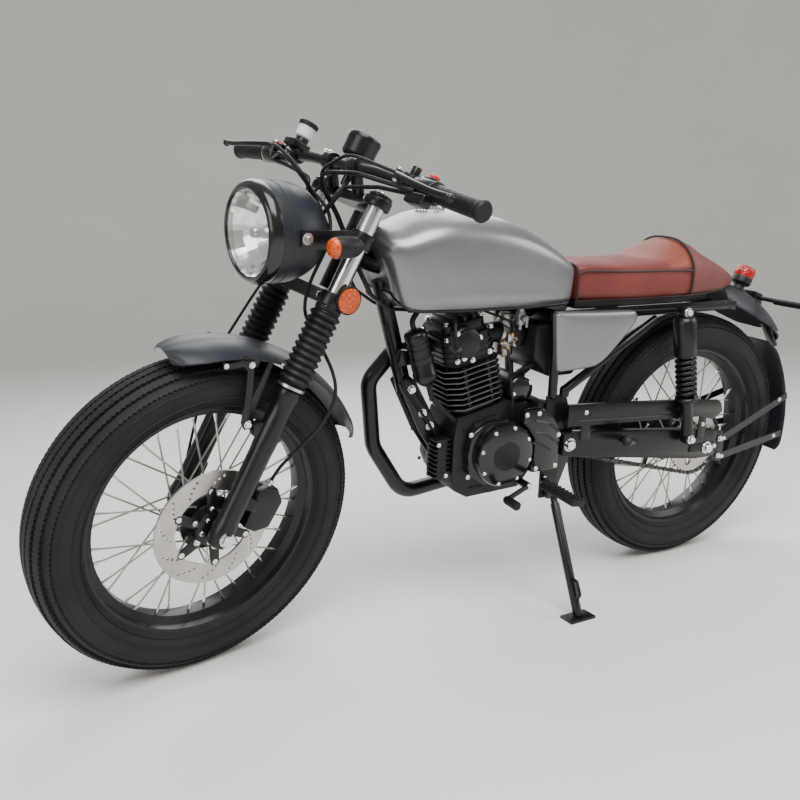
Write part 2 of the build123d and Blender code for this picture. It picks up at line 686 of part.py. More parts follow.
# Fuel tank. Sections run from a point of its lower edge to a point of its upper edge
# Columns: lower x, lower z, upper x, upper z, half width low, half width at the widest
TANK_SECTIONS = [
    (910, 774, 943, 870, 50, 58),
    (896, 749, 935, 896, 78, 86),
    (862, 739, 888, 911, 98, 107),
    (826, 738, 845, 928, 101, 113),
    (786, 737, 797, 936, 103, 117),
    (730, 736, 735, 935, 103, 118),
    (667, 736, 667, 926, 102, 118),
    (610, 735, 610, 911, 100, 115),
    (560, 735, 556, 889, 97, 110),
    (510, 735, 504, 860, 91, 102),
    (474, 737, 466, 832, 82, 90),
]
# Half of a section: share of the half width, share of the height
TANK_PROFILE = [(0.99, 0.22), (1, 0.45), (0.97, 0.66), (0.88, 0.82), (0.66, 0.93), (0.2, 1)]
CAP_X = 797
CAP_RADIUS = 30
CAP_SEAT_Z = 930


def tank_section(low_x, low_z, top_x, top_z, half_low, half):
    """Points of one section of the tank, up its right side and down its left."""
    upward = Vector(top_x - low_x, 0, top_z - low_z)
    flank = [(half_low, 0)] + [(half * a, b) for a, b in TANK_PROFILE]
    around = [(-a, b) for a, b in flank] + list(reversed(flank))
    return [Vector(low_x, a, low_z) + upward * b for a, b in around]


with BuildPart() as fuel_tank:
    add(skin([tank_section(*row) for row in TANK_SECTIONS]))
    tunnel = [(1000, 690), (1000, 880), (440, 743), (440, 690)]
    side_plate(tunnel, -TUNNEL_HALF, TUNNEL_HALF, mode=Mode.SUBTRACT)
    recess = HEADSTOCK_RADIUS + 6
    rod(from_fork(-FORK_OFFSET, 0, 500), from_fork(-FORK_OFFSET, 0, 760), recess, Mode.SUBTRACT)
    rod((CAP_X, 0, CAP_SEAT_Z), (CAP_X, 0, 990), CAP_RADIUS + GAP, Mode.SUBTRACT)
write(fuel_tank, "fuel_tank")

with BuildPart() as fuel_cap:
    rod((CAP_X, 0, CAP_SEAT_Z + GAP), (CAP_X, 0, CAP_SEAT_Z + 15), CAP_RADIUS)
write(fuel_cap, "fuel_cap")

# Seat with its hump. Columns: x, lower z, shoulder z, crown z, half width
SEAT_SECTIONS = [
    (457, 738, 800, 822, 90),
    (440, 738, 808, 826, 96),
    (360, 738, 806, 820, 103),
    (262, 738, 804, 820, 106),
    (232, 738, 804, 828, 106),
    (190, 738, 803, 846, 106),
    (150, 738, 803, 860, 106),
    (112, 738, 801, 866, 105),
    (84, 738, 799, 861, 101),
    (42, 738, 795, 838, 90),
    (-10, 740, 785, 817, 74),
    (-60, 743, 775, 797, 54),
    (-100, 748, 765, 778, 34),
    (-121, 753, 760, 766, 18),
]
# Half of a section: share of the half width, share from the lower line to the shoulder
SEAT_FLANK = [(0.95, 0), (1, 0.35), (0.99, 0.92)]
# Share of the half width, share from the shoulder to the crown
SEAT_CROWN = [(0.88, 0.4), (0.62, 0.78), (0.22, 1)]


def seat_section(x, low, shoulder, crown, half):
    """Points of one section of the seat, up its right side and down its left."""
    flank = [(half * a, low + (shoulder - low) * b) for a, b in SEAT_FLANK]
    flank = flank + [(half * a, shoulder + (crown - shoulder) * b) for a, b in SEAT_CROWN]
    return [Vector(x, a, b) for a, b in [(-a, b) for a, b in flank] + list(reversed(flank))]


with BuildPart() as seat:
    add(skin([seat_section(*row) for row in SEAT_SECTIONS]))
write(seat, "seat")

SEAT_BASE_Z = RAIL_Z + TUBE_RADIUS + GAP
with BuildPart() as seat_base:
    base = [(456, -86), (456, 86), (440, 92), (130, 92), (30, 74), (30, -74), (130, -92), (440, -92)]
    with BuildSketch(Plane.XY.offset(SEAT_BASE_Z)) as base_face:
        with BuildLine():
            Polyline(*base, close=True)
        make_face()
    extrude(base_face.sketch, amount=SEAT_SECTIONS[0][1] - GAP - SEAT_BASE_Z)
write(seat_base, "seat_base")

# Side covers below the tank's tail
COVER_OUTLINE = [(537, 724), (300, 716), (398, 590), (519, 588)]
with BuildPart() as side_covers:
    for start, end in both_sides(112, 132):
        side_plate(COVER_OUTLINE, start, end, 16)
    for start, end in both_sides(RAIL_Y + TUBE_RADIUS + GAP, 114):
        for x in (350, 490):
            disc_plate(6, start, end, x, RAIL_Z)
write(side_covers, "side_covers")

# Sheet metal over the wheels. Section columns: distance from the middle, radius about the axle
REAR_FENDER_SECTION = [(-78, 366), (-64, 408), (0, 424), (64, 408), (78, 366)]
HUGGER_SECTION = [(-76, 354), (-70, 361), (70, 361), (76, 354)]
FRONT_FENDER_SECTION = [(-76, 350), (-56, 367), (56, 367), (76, 350)]
FENDER_WALL = 3


def arched(section, start_angle, end_angle, x=0, z=0):
    """Arched sheet about a sideways axis from one angle to another, in the open part."""
    outer = [(across, radius + FENDER_WALL) for across, radius in reversed(section)]
    start = radians(start_angle)
    hub = Plane(
        origin=(x, 0, z), x_dir=(0, 1, 0), z_dir=Vector(0, 1, 0).cross(Vector(cos(start), 0, sin(start)))
    )
    with BuildSketch(hub) as cut:
        with BuildLine():
            Polyline(*section, *outer, close=True)
        make_face()
    turn_axis = Axis(origin=(x, 0, z), direction=(0, -1, 0))
    revolve(cut.sketch, axis=turn_axis, revolution_arc=end_angle - start_angle)


INDICATOR_SEAT = 20
with BuildPart() as rear_fender:
    arched(REAR_FENDER_SECTION, 100, 138, 0, AXLE_Z)
    under_hump = [(-150, 735), (-150, 800), (0, 800), (0, 735)]
    side_plate(under_hump, -100, 100, mode=Mode.SUBTRACT)
    lug = [(-76, 690), (-76, 712), (RAIL_REAR + 6, 716), (RAIL_REAR + 6, 700)]
    for start, end in both_sides(72, RAIL_Y - TUBE_RADIUS - GAP):
        side_plate(lug, start, end)
    side_plate([(-216, 702), (-250, 681), (-250, 712), (-220, 722)], -INDICATOR_SEAT, INDICATOR_SEAT)
    side_plate([(-305, 628), (-318, 615), (-352, 562), (-346, 558), (-300, 622)], -14, 14)
write(rear_fender, "rear_fender")

# Tail lamp on its foot, rear indicators on their stems, and the reflector of the plate bracket
FENDER_TOP = 424 + FENDER_WALL + GAP
lamp_way = Vector(-0.398, 0, 0.917).normalized()
with BuildPart() as rear_lamps:
    lamp_foot = Vector(0, 0, AXLE_Z) + lamp_way * FENDER_TOP
    rod(lamp_foot, lamp_foot + lamp_way * 14, 15)
    rod(lamp_foot + lamp_way * 12, lamp_foot + lamp_way * 62, 26)
    for side in (1, -1):
        stem = (-234, side * (INDICATOR_SEAT + GAP), 704)
        rod(stem, (-236, side * 76, 703), 6)
        rod((-236, side * 70, 703), (-246, side * 196, 700), 11, sides=8)
    plate_way = Vector(-0.842, 0, 0.54).normalized()
    reflector = Vector(-335, 0, 588.5) + plate_way * GAP
    rod(reflector, reflector + plate_way * 8, 20)
write(rear_lamps, "rear_lamps")

# Hugger behind the rear tyre with its side plates and two arms a side
HUGGER_ARM_Y = ARM_OUTER - 9
with BuildPart() as hugger:
    arched(HUGGER_SECTION, 136, 192, 0, AXLE_Z)
    plate = [(-ARM_TAIL - 1, 380), (-64, 368), (-72, 286), (-ARM_TAIL - 1, 296)]
    for start, end in both_sides(ARM_OUTER - 12, ARM_OUTER - 6):
        side_plate(plate, start, end)
    for x, z, rise in ((-60, 346, 84), (-62, 298, 20)):
        for side in (1, -1):
            rod((x, side * HUGGER_ARM_Y, z), (-346, side * 74, z + rise), 6, sides=8)
write(hugger, "rear_hugger")

# Twin shocks: eyes, upper can and stem, and the springs between can and lower seat
shock_top = Vector(SHOCK_TOP_X, 0, SHOCK_TOP_Z)
shock_low = Vector(SHOCK_BOTTOM_X, 0, SHOCK_BOTTOM_Z)
shock_way = (shock_low - shock_top).normalized()
shock_length = (shock_low - shock_top).length


def shock_point(along, side):
    """Point of a shock's axis, at a distance down from its upper eye."""
    spot = shock_top + shock_way * along
    return Vector(spot.X, side * SHOCK_Y, spot.Z)


def ribbed(start, end, outer, inner, ribs, sides):
    """Sleeve of flat-sided ribs from one point to another, in the open part."""
    line = Vector(*end) - Vector(*start)
    pitch = line * (1 / ribs)
    rod(start, end, inner, sides=sides)
    for index in range(ribs):
        low = Vector(*start) + pitch * (index + 0.25)
        rod(low, low + pitch * 0.5, outer, sides=sides)


with BuildPart() as shocks:
    for side in (1, -1):
        for along in (0, shock_length):
            eye = shock_point(along, side)
            start = eye.Y - SHOCK_EYE_WIDTH / 2
            disc_plate(SHOCK_EYE_RADIUS, start, start + SHOCK_EYE_WIDTH, eye.X, eye.Z)
        rod(shock_point(20, side), shock_point(SHOCK_CAN_END, side), SHOCK_CAN_RADIUS)
        rod(shock_point(8, side), shock_point(shock_length - 8, side), SHOCK_STEM_RADIUS - 1)
        for along in (0, shock_length):
            eye = shock_point(along, side)
            start = eye.Y - SHOCK_EYE_WIDTH / 2 - 1
            end = start + SHOCK_EYE_WIDTH + 2
            disc_plate(SHOCK_STUD_RADIUS + FIT, start, end, eye.X, eye.Z, Mode.SUBTRACT)
write(shocks, "rear_shocks")

with BuildPart() as springs:
    for side in (1, -1):
        spring_start = shock_point(SHOCK_CAN_END + GAP, side)
        spring_end = shock_point(SHOCK_SPRING_END, side)
        ribbed(spring_start, spring_end, SHOCK_SPRING_RADIUS, 19, SHOCK_SPRING_TURNS, 10)
        bore = SHOCK_STEM_RADIUS - 1 + GAP
        rod(shock_point(SHOCK_CAN_END - 5, side), shock_point(240, side), bore, Mode.SUBTRACT)
write(springs, "shock_springs")

# Chain guard over the upper run
with BuildPart() as chain_guard:
    outline = [(472, 446), (472, 500), (60, 470), (-20, 462), (-40, 430), (-10, 412), (40, 426)]
    side_plate(outline, ARM_OUTER + GAP, ARM_OUTER + 3)
    for tab in (
        [(400, 462), (430, 462), (430, 412), (400, 412)],
        [(16, 432), (42, 432), (42, 366), (16, 366)],
    ):
        side_plate(tab, ARM_OUTER + GAP, ARM_OUTER + 3)
write(chain_guard, "chain_guard")

# Foot controls: riders' pegs, folded passengers' pegs, gear pedal and brake pedal
PEG_INNER = PIVOT_PLATE_INNER + PLATE_THICK + GAP
PEG_X = 506
PEG_Z = 312
PEG_BOSS_RADIUS = 9
with BuildPart() as foot_controls:
    for side in (1, -1):
        rod((PEG_X, side * PEG_INNER, PEG_Z), (PEG_X, side * 106, PEG_Z), PEG_BOSS_RADIUS)
        rod((PEG_X, side * 104, PEG_Z), (560, side * 180, 338), 9, sides=10)
        low, high = (176, 292) if side > 0 else (-292, -176)
        side_plate([(548, 330), (584, 336), (580, 354), (546, 350)], low, high)
        rod((292, side * (ARM_OUTER + 2), 396), (292, side * 150, 402), 9, sides=10)
        rod((292, side * 150, 402), (330, side * 168, 412), 13, sides=10)
        case_side = CASE_HALF + GAP if side > 0 else -104 - GAP
        reach = 130 * side
        rod((576, case_side, 322), (576, reach, 322), 9, sides=10)
        rod((576, side * 126, 322), (644, side * 142, 306), 6, sides=8)
        rod((644, side * 132, 306), (648, side * 184, 308), 9, sides=10)
write(foot_controls, "foot_controls")

with BuildPart() as canister:
    rod((852, 56, 690), (814, 56, 566), 25)
    side_plate([(848, 612), (848, 642), (874, 642), (874, 612)], DOWN_TUBE_RADIUS + GAP, 48)
write(canister, "oil_canister")

# Finned regulator left of the engine plates
REGULATOR_Y = DOWN_TUBE_RADIUS + PLATE_THICK + GAP
with BuildPart() as regulator:
    for index in range(5):
        side_plate([(752, 344), (790, 344), (790, 436), (752, 436)], REGULATOR_Y + index * 9, REGULATOR_Y + 4 + index * 9)
    side_plate([(752, 344), (764, 344), (764, 436), (752, 436)], REGULATOR_Y, REGULATOR_Y + 40)
write(regulator, "regulator")

# Fork sliders with the axle's bore and the lugs of the front fender
with BuildPart() as fork_sliders:
    for side in (1, -1):
        rod((0, side * LEG_Y, SLIDER_FOOT), (0, side * LEG_Y, SLIDER_TOP), SLIDER_RADIUS)
        mouth = (0, side * LEG_Y, SLIDER_TOP + 1)
        blind = (0, side * LEG_Y, SLIDER_TOP - SLIDER_BORE_DEPTH)
        rod(blind, mouth, STANCHION_RADIUS + FIT, Mode.SUBTRACT)
        low, high = (78, 96) if side > 0 else (-96, -78)
        side_plate([(15, 200), (38, 208), (38, 232), (15, 240)], low, high)
    disc_plate(AXLE_RADIUS + FIT, -150, 150, mode=Mode.SUBTRACT)
write(fork_sliders, "fork_sliders", PARKED_FORK)

# Stanchions fixed in both yokes, the steering stem, and the risers with the bar's clamps


def yoke_plate(start, height):
    """Yoke that joins both legs and the stem, from one height along the legs, in the open part."""
    with BuildSketch(Plane.XY.offset(start)) as face:
        with Locations((0, LEG_Y), (0, -LEG_Y)):
            Circle(STANCHION_RADIUS + YOKE_BOSS)
        with Locations((-FORK_OFFSET, 0)):
            Circle(STEM_RADIUS + YOKE_BOSS)
        make_hull()
    extrude(face.sketch, amount=height)


with BuildPart() as upper_fork:
    yoke_plate(LOWER_YOKE_BOTTOM, LOWER_YOKE_THICK)
    yoke_plate(UPPER_YOKE_BOTTOM, UPPER_YOKE_THICK)
    stem = [(-FORK_OFFSET, 0, LOWER_YOKE_BOTTOM), (-FORK_OFFSET, 0, UPPER_YOKE_BOTTOM)]
    rod(*stem, STEM_RADIUS, exact=True)
    for side in (1, -1):
        blind = (0, side * LEG_Y, SLIDER_TOP - SLIDER_BORE_DEPTH)
        rod(blind, (0, side * LEG_Y, UPPER_YOKE_TOP + FORK_CAP), STANCHION_RADIUS, exact=True)
        seat = (BAR_X - 30, side * RISER_Y, UPPER_YOKE_TOP - 4)
        rod(seat, (BAR_X, side * RISER_Y, BAR_Z), RISER_RADIUS)
        start = side * RISER_Y - CLAMP_WIDTH / 2
        disc_plate(CLAMP_RADIUS, start, start + CLAMP_WIDTH, BAR_X, BAR_Z)
    disc_plate(BAR_RADIUS + FIT, -100, 100, BAR_X, BAR_Z, Mode.SUBTRACT)
write(upper_fork, "upper_fork", PARKED_FORK)

GAITER_SIDES = 12
with BuildPart() as gaiters:
    for side in (1, -1):
        gaiter_start = (0, side * LEG_Y, SLIDER_TOP + GAP)
        gaiter_end = (0, side * LEG_Y, GAITER_TOP - GAP)
        ribbed(gaiter_start, gaiter_end, GAITER_RADIUS, GAITER_VALLEY, GAITER_RIBS, GAITER_SIDES)
        sleeve = STANCHION_RADIUS + GAP
        rod((0, side * LEG_Y, 300), (0, side * LEG_Y, 500), sleeve, Mode.SUBTRACT)
write(gaiters, "fork_gaiters", PARKED_FORK)

with BuildPart() as front_axle:
    disc_plate(AXLE_RADIUS, -LEG_Y - SLIDER_RADIUS, LEG_Y + SLIDER_RADIUS, exact=True)
    disc_plate(AXLE_SPACER_RADIUS, FRONT_HUB_LEFT + DISC_THICK + GAP, LEG_Y - SLIDER_RADIUS - GAP)
    disc_plate(AXLE_SPACER_RADIUS, -LEG_Y + SLIDER_RADIUS + GAP, FRONT_HUB_RIGHT - GAP)
    for start, end in both_sides(LEG_Y + SLIDER_RADIUS, LEG_Y + SLIDER_RADIUS + 10):
        hexagon(AXLE_NUT_RADIUS, start, end, 0, 0)
write(front_axle, "front_axle", PARKED_FORK)

# Handlebar, a flat bar bent slightly back to the grips
bar_end = Vector(BAR_X - BAR_SWEEP, BAR_HALF, BAR_Z - BAR_DROP)
bar_bend = Vector(BAR_X, BAR_STRAIGHT, BAR_Z)
bar_way = (bar_end - bar_bend).normalized()


def bar_point(along, side):
    """Point of the bar's outer run, at a distance inwards from its end."""
    spot = bar_end - bar_way * along
    return Vector(spot.X, side * spot.Y, spot.Z)


with BuildPart() as handlebar:
    left = [bar_point(0, 1), Vector(BAR_X, BAR_STRAIGHT, BAR_Z)]
    right = [Vector(BAR_X, -BAR_STRAIGHT, BAR_Z), bar_point(0, -1)]
    pipe(left + right, 60, BAR_RADIUS)
write(handlebar, "handlebar", PARKED_FORK)

with BuildPart() as grips:
    for side in (1, -1):
        rod(bar_point(-4, side), bar_point(GRIP_LENGTH, side), GRIP_RADIUS)
        rod(bar_point(0, side), bar_point(GRIP_LENGTH + 1, side), BAR_RADIUS + GAP, Mode.SUBTRACT)
write(grips, "hand_grips", PARKED_FORK)

# Controls on the bar: perches with levers, switch housings and the brake's fluid reservoir
PERCH_RADIUS = 17
SWITCH_RADIUS = 20
MIRROR_HOLE = 5
MIRROR_DEPTH = 16
MIRROR_BOSS_TOP = 32
with BuildPart() as bar_controls:
    for side in (1, -1):
        rod(bar_point(178, side), bar_point(206, side), PERCH_RADIUS)
        knuckle = bar_point(190, side) + Vector(34, 0, 2)
        rod(bar_point(190, side), knuckle, 9, sides=10)
        rod(knuckle, bar_point(30, side) + Vector(58, 0, 2), 6, sides=8)
        rod(bar_point(GRIP_LENGTH + 2, side), bar_point(GRIP_LENGTH + 48, side), SWITCH_RADIUS)
        boss = bar_point(192, side)
        rod(boss, boss + Vector(0, 0, MIRROR_BOSS_TOP), MIRROR_HOLE + 4)
        mirror_mouth = boss + Vector(0, 0, MIRROR_BOSS_TOP + 1)
        mirror_end = boss + Vector(0, 0, MIRROR_BOSS_TOP - MIRROR_DEPTH)
        rod(mirror_end, mirror_mouth, MIRROR_HOLE, Mode.SUBTRACT)
    foot = bar_point(226, -1) + Vector(0, 0, PERCH_RADIUS - 3)
    rod(bar_point(206, -1), bar_point(240, -1), PERCH_RADIUS)
    rod(foot, foot + Vector(0, 0, 24), 14)
    rod(foot + Vector(0, 0, 24), foot + Vector(0, 0, 58), 19)
    for side in (1, -1):
        rod(bar_point(100, side), bar_point(250, side), BAR_RADIUS + GAP, Mode.SUBTRACT)
write(bar_controls, "bar_controls", PARKED_FORK)

# Hose from the front brake's master cylinder to the caliper, one whole cord on the fork
HOSE_RADIUS = 3.5
HOSE_ROUTE = [
    (63.1, -168, 741),
    (88, -160, 738),
    (66, -70, 690),
    (34, 56, 640),
    (34, 44, 470),
    (-40, 40, 425),
    (-88, 112, 360),
    (-96, 120, 290),
    (-76, 90, 190),
    (-71, 74, 150),
    (-70, 72, 114),
]
HOSE_BENDS = [16, 40, 40, 40, 40, 40, 60, 60, 30]
with BuildPart() as brake_hose:
    pipe(HOSE_ROUTE, HOSE_BENDS, HOSE_RADIUS, sides=8)
write(brake_hose, "brake_hose", PARKED_FORK)

# Speedometer on a stalk from the upper yoke
with BuildPart() as speedometer:
    rod((24, 0, UPPER_YOKE_TOP + GAP), (24, 0, 768), 8, sides=8)
    rod((24, 0, 766), (24, 0, 812), 34)
write(speedometer, "speedometer", PARKED_FORK)

# Headlight: shell with its rim, lens, and brackets clamped to the stanchions
LAMP_BEHIND_AXLE = 106
HEAD_LAMP_X = WHEELBASE - LAMP_BEHIND_AXLE
HEAD_LAMP_Z = 897
LAMP_RADIUS = 95
LENS_RADIUS = LAMP_RADIUS - 7
LAMP_SIDES = 36
# Shell: distance behind the lens's seat, and radius
SHELL_OUTLINE = [(44, 95), (80, 88), (108, 72), (132, 46)]


def lamp_rod(front, back, radius, mode=Mode.ADD):
    """Many-sided slice of the lamp between two distances behind the lens's seat, in the open part."""
    with BuildSketch(Plane(origin=(HEAD_LAMP_X - front, 0, HEAD_LAMP_Z), z_dir=(-1, 0, 0))) as slice_face:
        RegularPolygon(radius, LAMP_SIDES)
    extrude(slice_face.sketch, amount=back - front, mode=mode)


with BuildPart() as headlight_shell:
    lamp_rod(-10, SHELL_OUTLINE[0][0], LAMP_RADIUS)
    for back, radius in SHELL_OUTLINE:
        with BuildSketch(Plane(origin=(HEAD_LAMP_X - back, 0, HEAD_LAMP_Z), z_dir=(-1, 0, 0))):
            RegularPolygon(radius, LAMP_SIDES)
    loft(ruled=True)
    lamp_rod(-11, 0, LENS_RADIUS, Mode.SUBTRACT)
write(headlight_shell, "headlight_shell", PARKED_STEERED)

with BuildPart() as headlight_lens:
    lamp_rod(-12, -GAP, LENS_RADIUS - GAP)
write(headlight_lens, "headlight_lens", PARKED_STEERED)

CLAMP_LOW = 610
CLAMP_HIGH = 640
with BuildPart() as lamp_brackets:
    # Distance behind the lens's seat, height
    corners = [(42, 918), (42, 888), (148, 874), (170, 880), (170, 906), (160, 914)]
    outline = [(HEAD_LAMP_X - back, height) for back, height in corners]
    for start, end in both_sides(LAMP_RADIUS + GAP, LAMP_RADIUS + 5):
        side_plate(outline, start, end)
    for side in (1, -1):
        low = from_fork(0, side * LEG_Y, CLAMP_LOW)
        high = from_fork(0, side * LEG_Y, CLAMP_HIGH)
        rod(low, high, STANCHION_RADIUS + 6)
    for side in (1, -1):
        low = from_fork(0, side * LEG_Y, CLAMP_LOW - 60)
        high = from_fork(0, side * LEG_Y, CLAMP_HIGH + 40)
        rod(low, high, STANCHION_RADIUS + FIT, Mode.SUBTRACT)
write(lamp_brackets, "lamp_brackets", PARKED_STEERED)

# Front indicators on their stems, and the round reflectors beside the lower yoke
INDICATOR_BACK = 134
REFLECTOR_BACK = 138
with BuildPart() as front_indicators:
    for side in (1, -1):
        stem = HEAD_LAMP_X - INDICATOR_BACK
        rod((stem, side * (LAMP_RADIUS + 6), 893), (stem + 2, side * 140, 895), 7, sides=8)
        rod((stem - 4, side * 150, 896), (stem + 56, side * 150, 896), 20, sides=14)
        reflector = (118.6, 128) if side > 0 else (-128, -118.6)
        disc_plate(26, reflector[0], reflector[1], HEAD_LAMP_X - REFLECTOR_BACK, 787)
write(front_indicators, "front_indicators", PARKED_STEERED)

# Front fender, in the fork's frame, cut away round the gaiters, with its stays
with BuildPart() as front_fender:
    arched(FRONT_FENDER_SECTION, 51, 134)
    for side in (1, -1):
        rod((0, side * LEG_Y, 300), (0, side * LEG_Y, 500), GAITER_RADIUS + 4, Mode.SUBTRACT)
        low, high = (78, 90) if side > 0 else (-90, -78)
        side_plate([(38 + GAP, 210), (38 + GAP, 232), (56, 236), (56, 210)], low, high)
        stay_foot = (48, side * 84, 224)
        rod(stay_foot, (152, side * 74, 320), 5, sides=6)
        rod(stay_foot, (56, side * 72, 352), 5, sides=6)
write(front_fender, "front_fender", PARKED_FORK)

# Caliper behind the left slider, straddling the disc, on a lug against the slider
with BuildPart() as caliper:
    body = [(-48, 22), (-44, 100), (-84, 116), (-108, 92), (-104, 34), (-76, 18)]
    side_plate(body, DISC_Y - 16, DISC_Y + 30)
    with BuildSketch(Plane.XZ.offset(-DISC_Y + DISC_THICK / 2 + 2)) as slot:
        Circle(DISC_RADIUS + 4)
    extrude(slot.sketch, amount=-DISC_THICK - 4, mode=Mode.SUBTRACT)
    side_plate([(-50, 60), (-50, 84), (-23.4, 84), (-23.4, 60)], DISC_Y + 22, LEG_Y + 4)
write(caliper, "brake_caliper", PARKED_FORK)

# Side stand in its lowered place: knuckle on the pivot, leg, foot pad and tang
foot_frame = PARKED_FRAME.inverse() * Location((STAND_FOOT_X + SHIFT_X, STAND_FOOT_Y + SHIFT_Y, 0))
pad_plane = Plane(foot_frame)
stand_top = Vector(STAND_PIVOT_X, STAND_PIVOT_Y, STAND_PIVOT_Z)
stand_low = foot_frame.position + pad_plane.z_dir * STAND_FOOT_THICK
stand_way = (stand_low - stand_top).normalized()
stand_axis = stand_way.cross(Vector(-1, STAND_FOLD_OUT, 0)).normalized()


def stand_point(along, down):
    """Point at a distance along the pivot from its middle, and down the leg."""
    return stand_top + stand_axis * along + stand_way * down


with BuildPart() as side_stand:
    rod(stand_point(0, 0), stand_point(KNUCKLE_LENGTH, 0), KNUCKLE_RADIUS)
    rod(stand_point(KNUCKLE_LENGTH / 2, 0), stand_point(KNUCKLE_LENGTH / 2, 34), STAND_NECK_RADIUS)
    rod(stand_point(KNUCKLE_LENGTH / 2, 28), stand_low, STAND_LEG_RADIUS)
    with BuildSketch(pad_plane) as pad:
        Rectangle(STAND_FOOT_LENGTH, STAND_FOOT_WIDTH)
    extrude(pad.sketch, amount=STAND_FOOT_THICK)
    tang = [stand_point(9, 205), stand_point(30, 215), stand_point(30, 245), stand_point(9, 255)]
    for start, end in zip(tang, tang[1:]):
        rod(start, end, 4, sides=6)
    rod(stand_point(-5, 0), stand_point(KNUCKLE_LENGTH + 5, 0), STAND_BOLT_RADIUS + FIT, Mode.SUBTRACT)
write(side_stand, "side_stand")

# Bracket of the side stand: boss against the left pivot plate, bolt and bolt head
with BuildPart() as stand_bracket:
    rod(stand_point(-16, 0), stand_point(-GAP, 0), KNUCKLE_RADIUS + 1)
    below_plate = [(460, 230), (540, 230), (540, 330), (460, 330)]
    side_plate(below_plate, 60, PIVOT_PLATE_INNER + PLATE_THICK + GAP, mode=Mode.SUBTRACT)
    rod(stand_point(-6, 0), stand_point(KNUCKLE_LENGTH + 2, 0), STAND_BOLT_RADIUS, exact=True)
    rod(stand_point(KNUCKLE_LENGTH + GAP, 0), stand_point(KNUCKLE_LENGTH + 7, 0), 9, sides=6)
write(stand_bracket, "stand_bracket")

print("brake_hose radius", HOSE_RADIUS, "bend radii", *HOSE_BENDS)
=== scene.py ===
"""Cafe racer motorcycle parked on its side stand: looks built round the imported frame."""
import json
import logging
import math
from dataclasses import dataclass
from enum import Enum
from typing import Any, Callable, Optional, Sequence, Union

import bpy
from mathutils import Matrix, Vector

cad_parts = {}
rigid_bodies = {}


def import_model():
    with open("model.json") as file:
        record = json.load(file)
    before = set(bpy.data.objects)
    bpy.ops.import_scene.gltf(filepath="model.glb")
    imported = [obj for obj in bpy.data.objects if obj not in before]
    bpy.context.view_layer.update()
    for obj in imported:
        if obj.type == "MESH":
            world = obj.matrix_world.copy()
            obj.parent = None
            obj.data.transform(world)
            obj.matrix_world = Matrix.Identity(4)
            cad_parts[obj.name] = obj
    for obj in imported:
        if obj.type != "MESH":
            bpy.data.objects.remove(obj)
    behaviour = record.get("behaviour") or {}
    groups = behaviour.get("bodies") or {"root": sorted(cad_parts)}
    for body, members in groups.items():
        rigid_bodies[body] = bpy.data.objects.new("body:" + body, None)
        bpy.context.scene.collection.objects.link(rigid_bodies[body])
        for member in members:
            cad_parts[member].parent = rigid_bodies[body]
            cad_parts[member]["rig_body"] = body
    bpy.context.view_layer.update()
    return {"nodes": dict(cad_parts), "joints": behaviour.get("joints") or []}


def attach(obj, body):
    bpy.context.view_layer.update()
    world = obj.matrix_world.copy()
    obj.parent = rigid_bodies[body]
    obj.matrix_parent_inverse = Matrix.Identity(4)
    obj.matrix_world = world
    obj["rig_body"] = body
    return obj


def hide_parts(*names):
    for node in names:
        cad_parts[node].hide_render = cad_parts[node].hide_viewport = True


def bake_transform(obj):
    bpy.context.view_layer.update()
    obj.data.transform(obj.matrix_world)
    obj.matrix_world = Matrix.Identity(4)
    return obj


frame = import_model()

LOG = logging.getLogger("cafe_racer")
Point = Sequence[float]
Colour = tuple[float, float, float]
MILLIMETRE = 0.001
AXLE_HEIGHT = 336.0
RAKE = math.radians(27.0)
WHEELBASE = 1306.0
LEG = 92.0
SIDES = (1, -1)
LEFT = (0, 1, 0)
RIGHT = (0, -1, 0)


# Places

def joint_line(name: str) -> tuple[Vector, Vector]:
    """Position and unit axis of one of the frame's joints."""
    joint = next(j for j in frame["joints"] if j["name"] == name)
    return Vector(joint["pos_m"]), Vector(joint["axis"]).normalized()


def place_matrix(forward: Vector, left: Vector, up: Vector, origin: Vector) -> Matrix:
    """Matrix from millimetres along three axes to metres of the row frame.

    Args:
        forward: The place's own x direction.
        left: The place's own y direction.
        up: The place's own z direction.
        origin: The place's own zero point, in metres.

    Returns:
        The matrix, with the scale from millimetres in it.
    """
    turn = Matrix((forward, left, up)).transposed().to_4x4()
    return Matrix.Translation(origin) @ turn @ Matrix.Scale(MILLIMETRE, 4)


def upright_machine() -> Matrix:
    """Place of the upright machine: x forward from the rear axle's floor point, y left, z up."""
    axle, left = joint_line("rear_wheel_spin")
    _, head = joint_line("steering")
    across = left.cross(head)
    forward = across * math.cos(RAKE) - head * math.sin(RAKE)
    up = across * math.sin(RAKE) + head * math.cos(RAKE)
    return place_matrix(forward, left, up, axle - up * AXLE_HEIGHT * MILLIMETRE)


def steered_fork() -> Matrix:
    """Place of the fork: zero at the front axle, z up along the legs, y along the axle."""
    axle, left = joint_line("front_wheel_spin")
    _, head = joint_line("steering")
    return place_matrix(left.cross(head), left, head, axle)


def fork_in_machine() -> Matrix:
    """The fork's own axes as they stand in the unsteered machine, in millimetres."""
    turn = Matrix.Rotation(-RAKE, 4, "Y")
    return Matrix.Translation((WHEELBASE, 0, AXLE_HEIGHT)) @ turn


class Place(Enum):
    """Where a piece is modelled, and the body that it rides on."""

    FRAME = "frame"
    FORK = "fork"
    LAMP = "lamp"
    FRONT_WHEEL = "front_wheel"
    REAR_WHEEL = "rear_wheel"

    @property
    def matrix(self) -> Matrix:
        """Matrix from the place's millimetres to the row frame."""
        return PLACES[self]

    @property
    def body(self) -> str:
        """Name of the body that pieces of this place ride on."""
        return "fork" if self is Place.LAMP else self.value


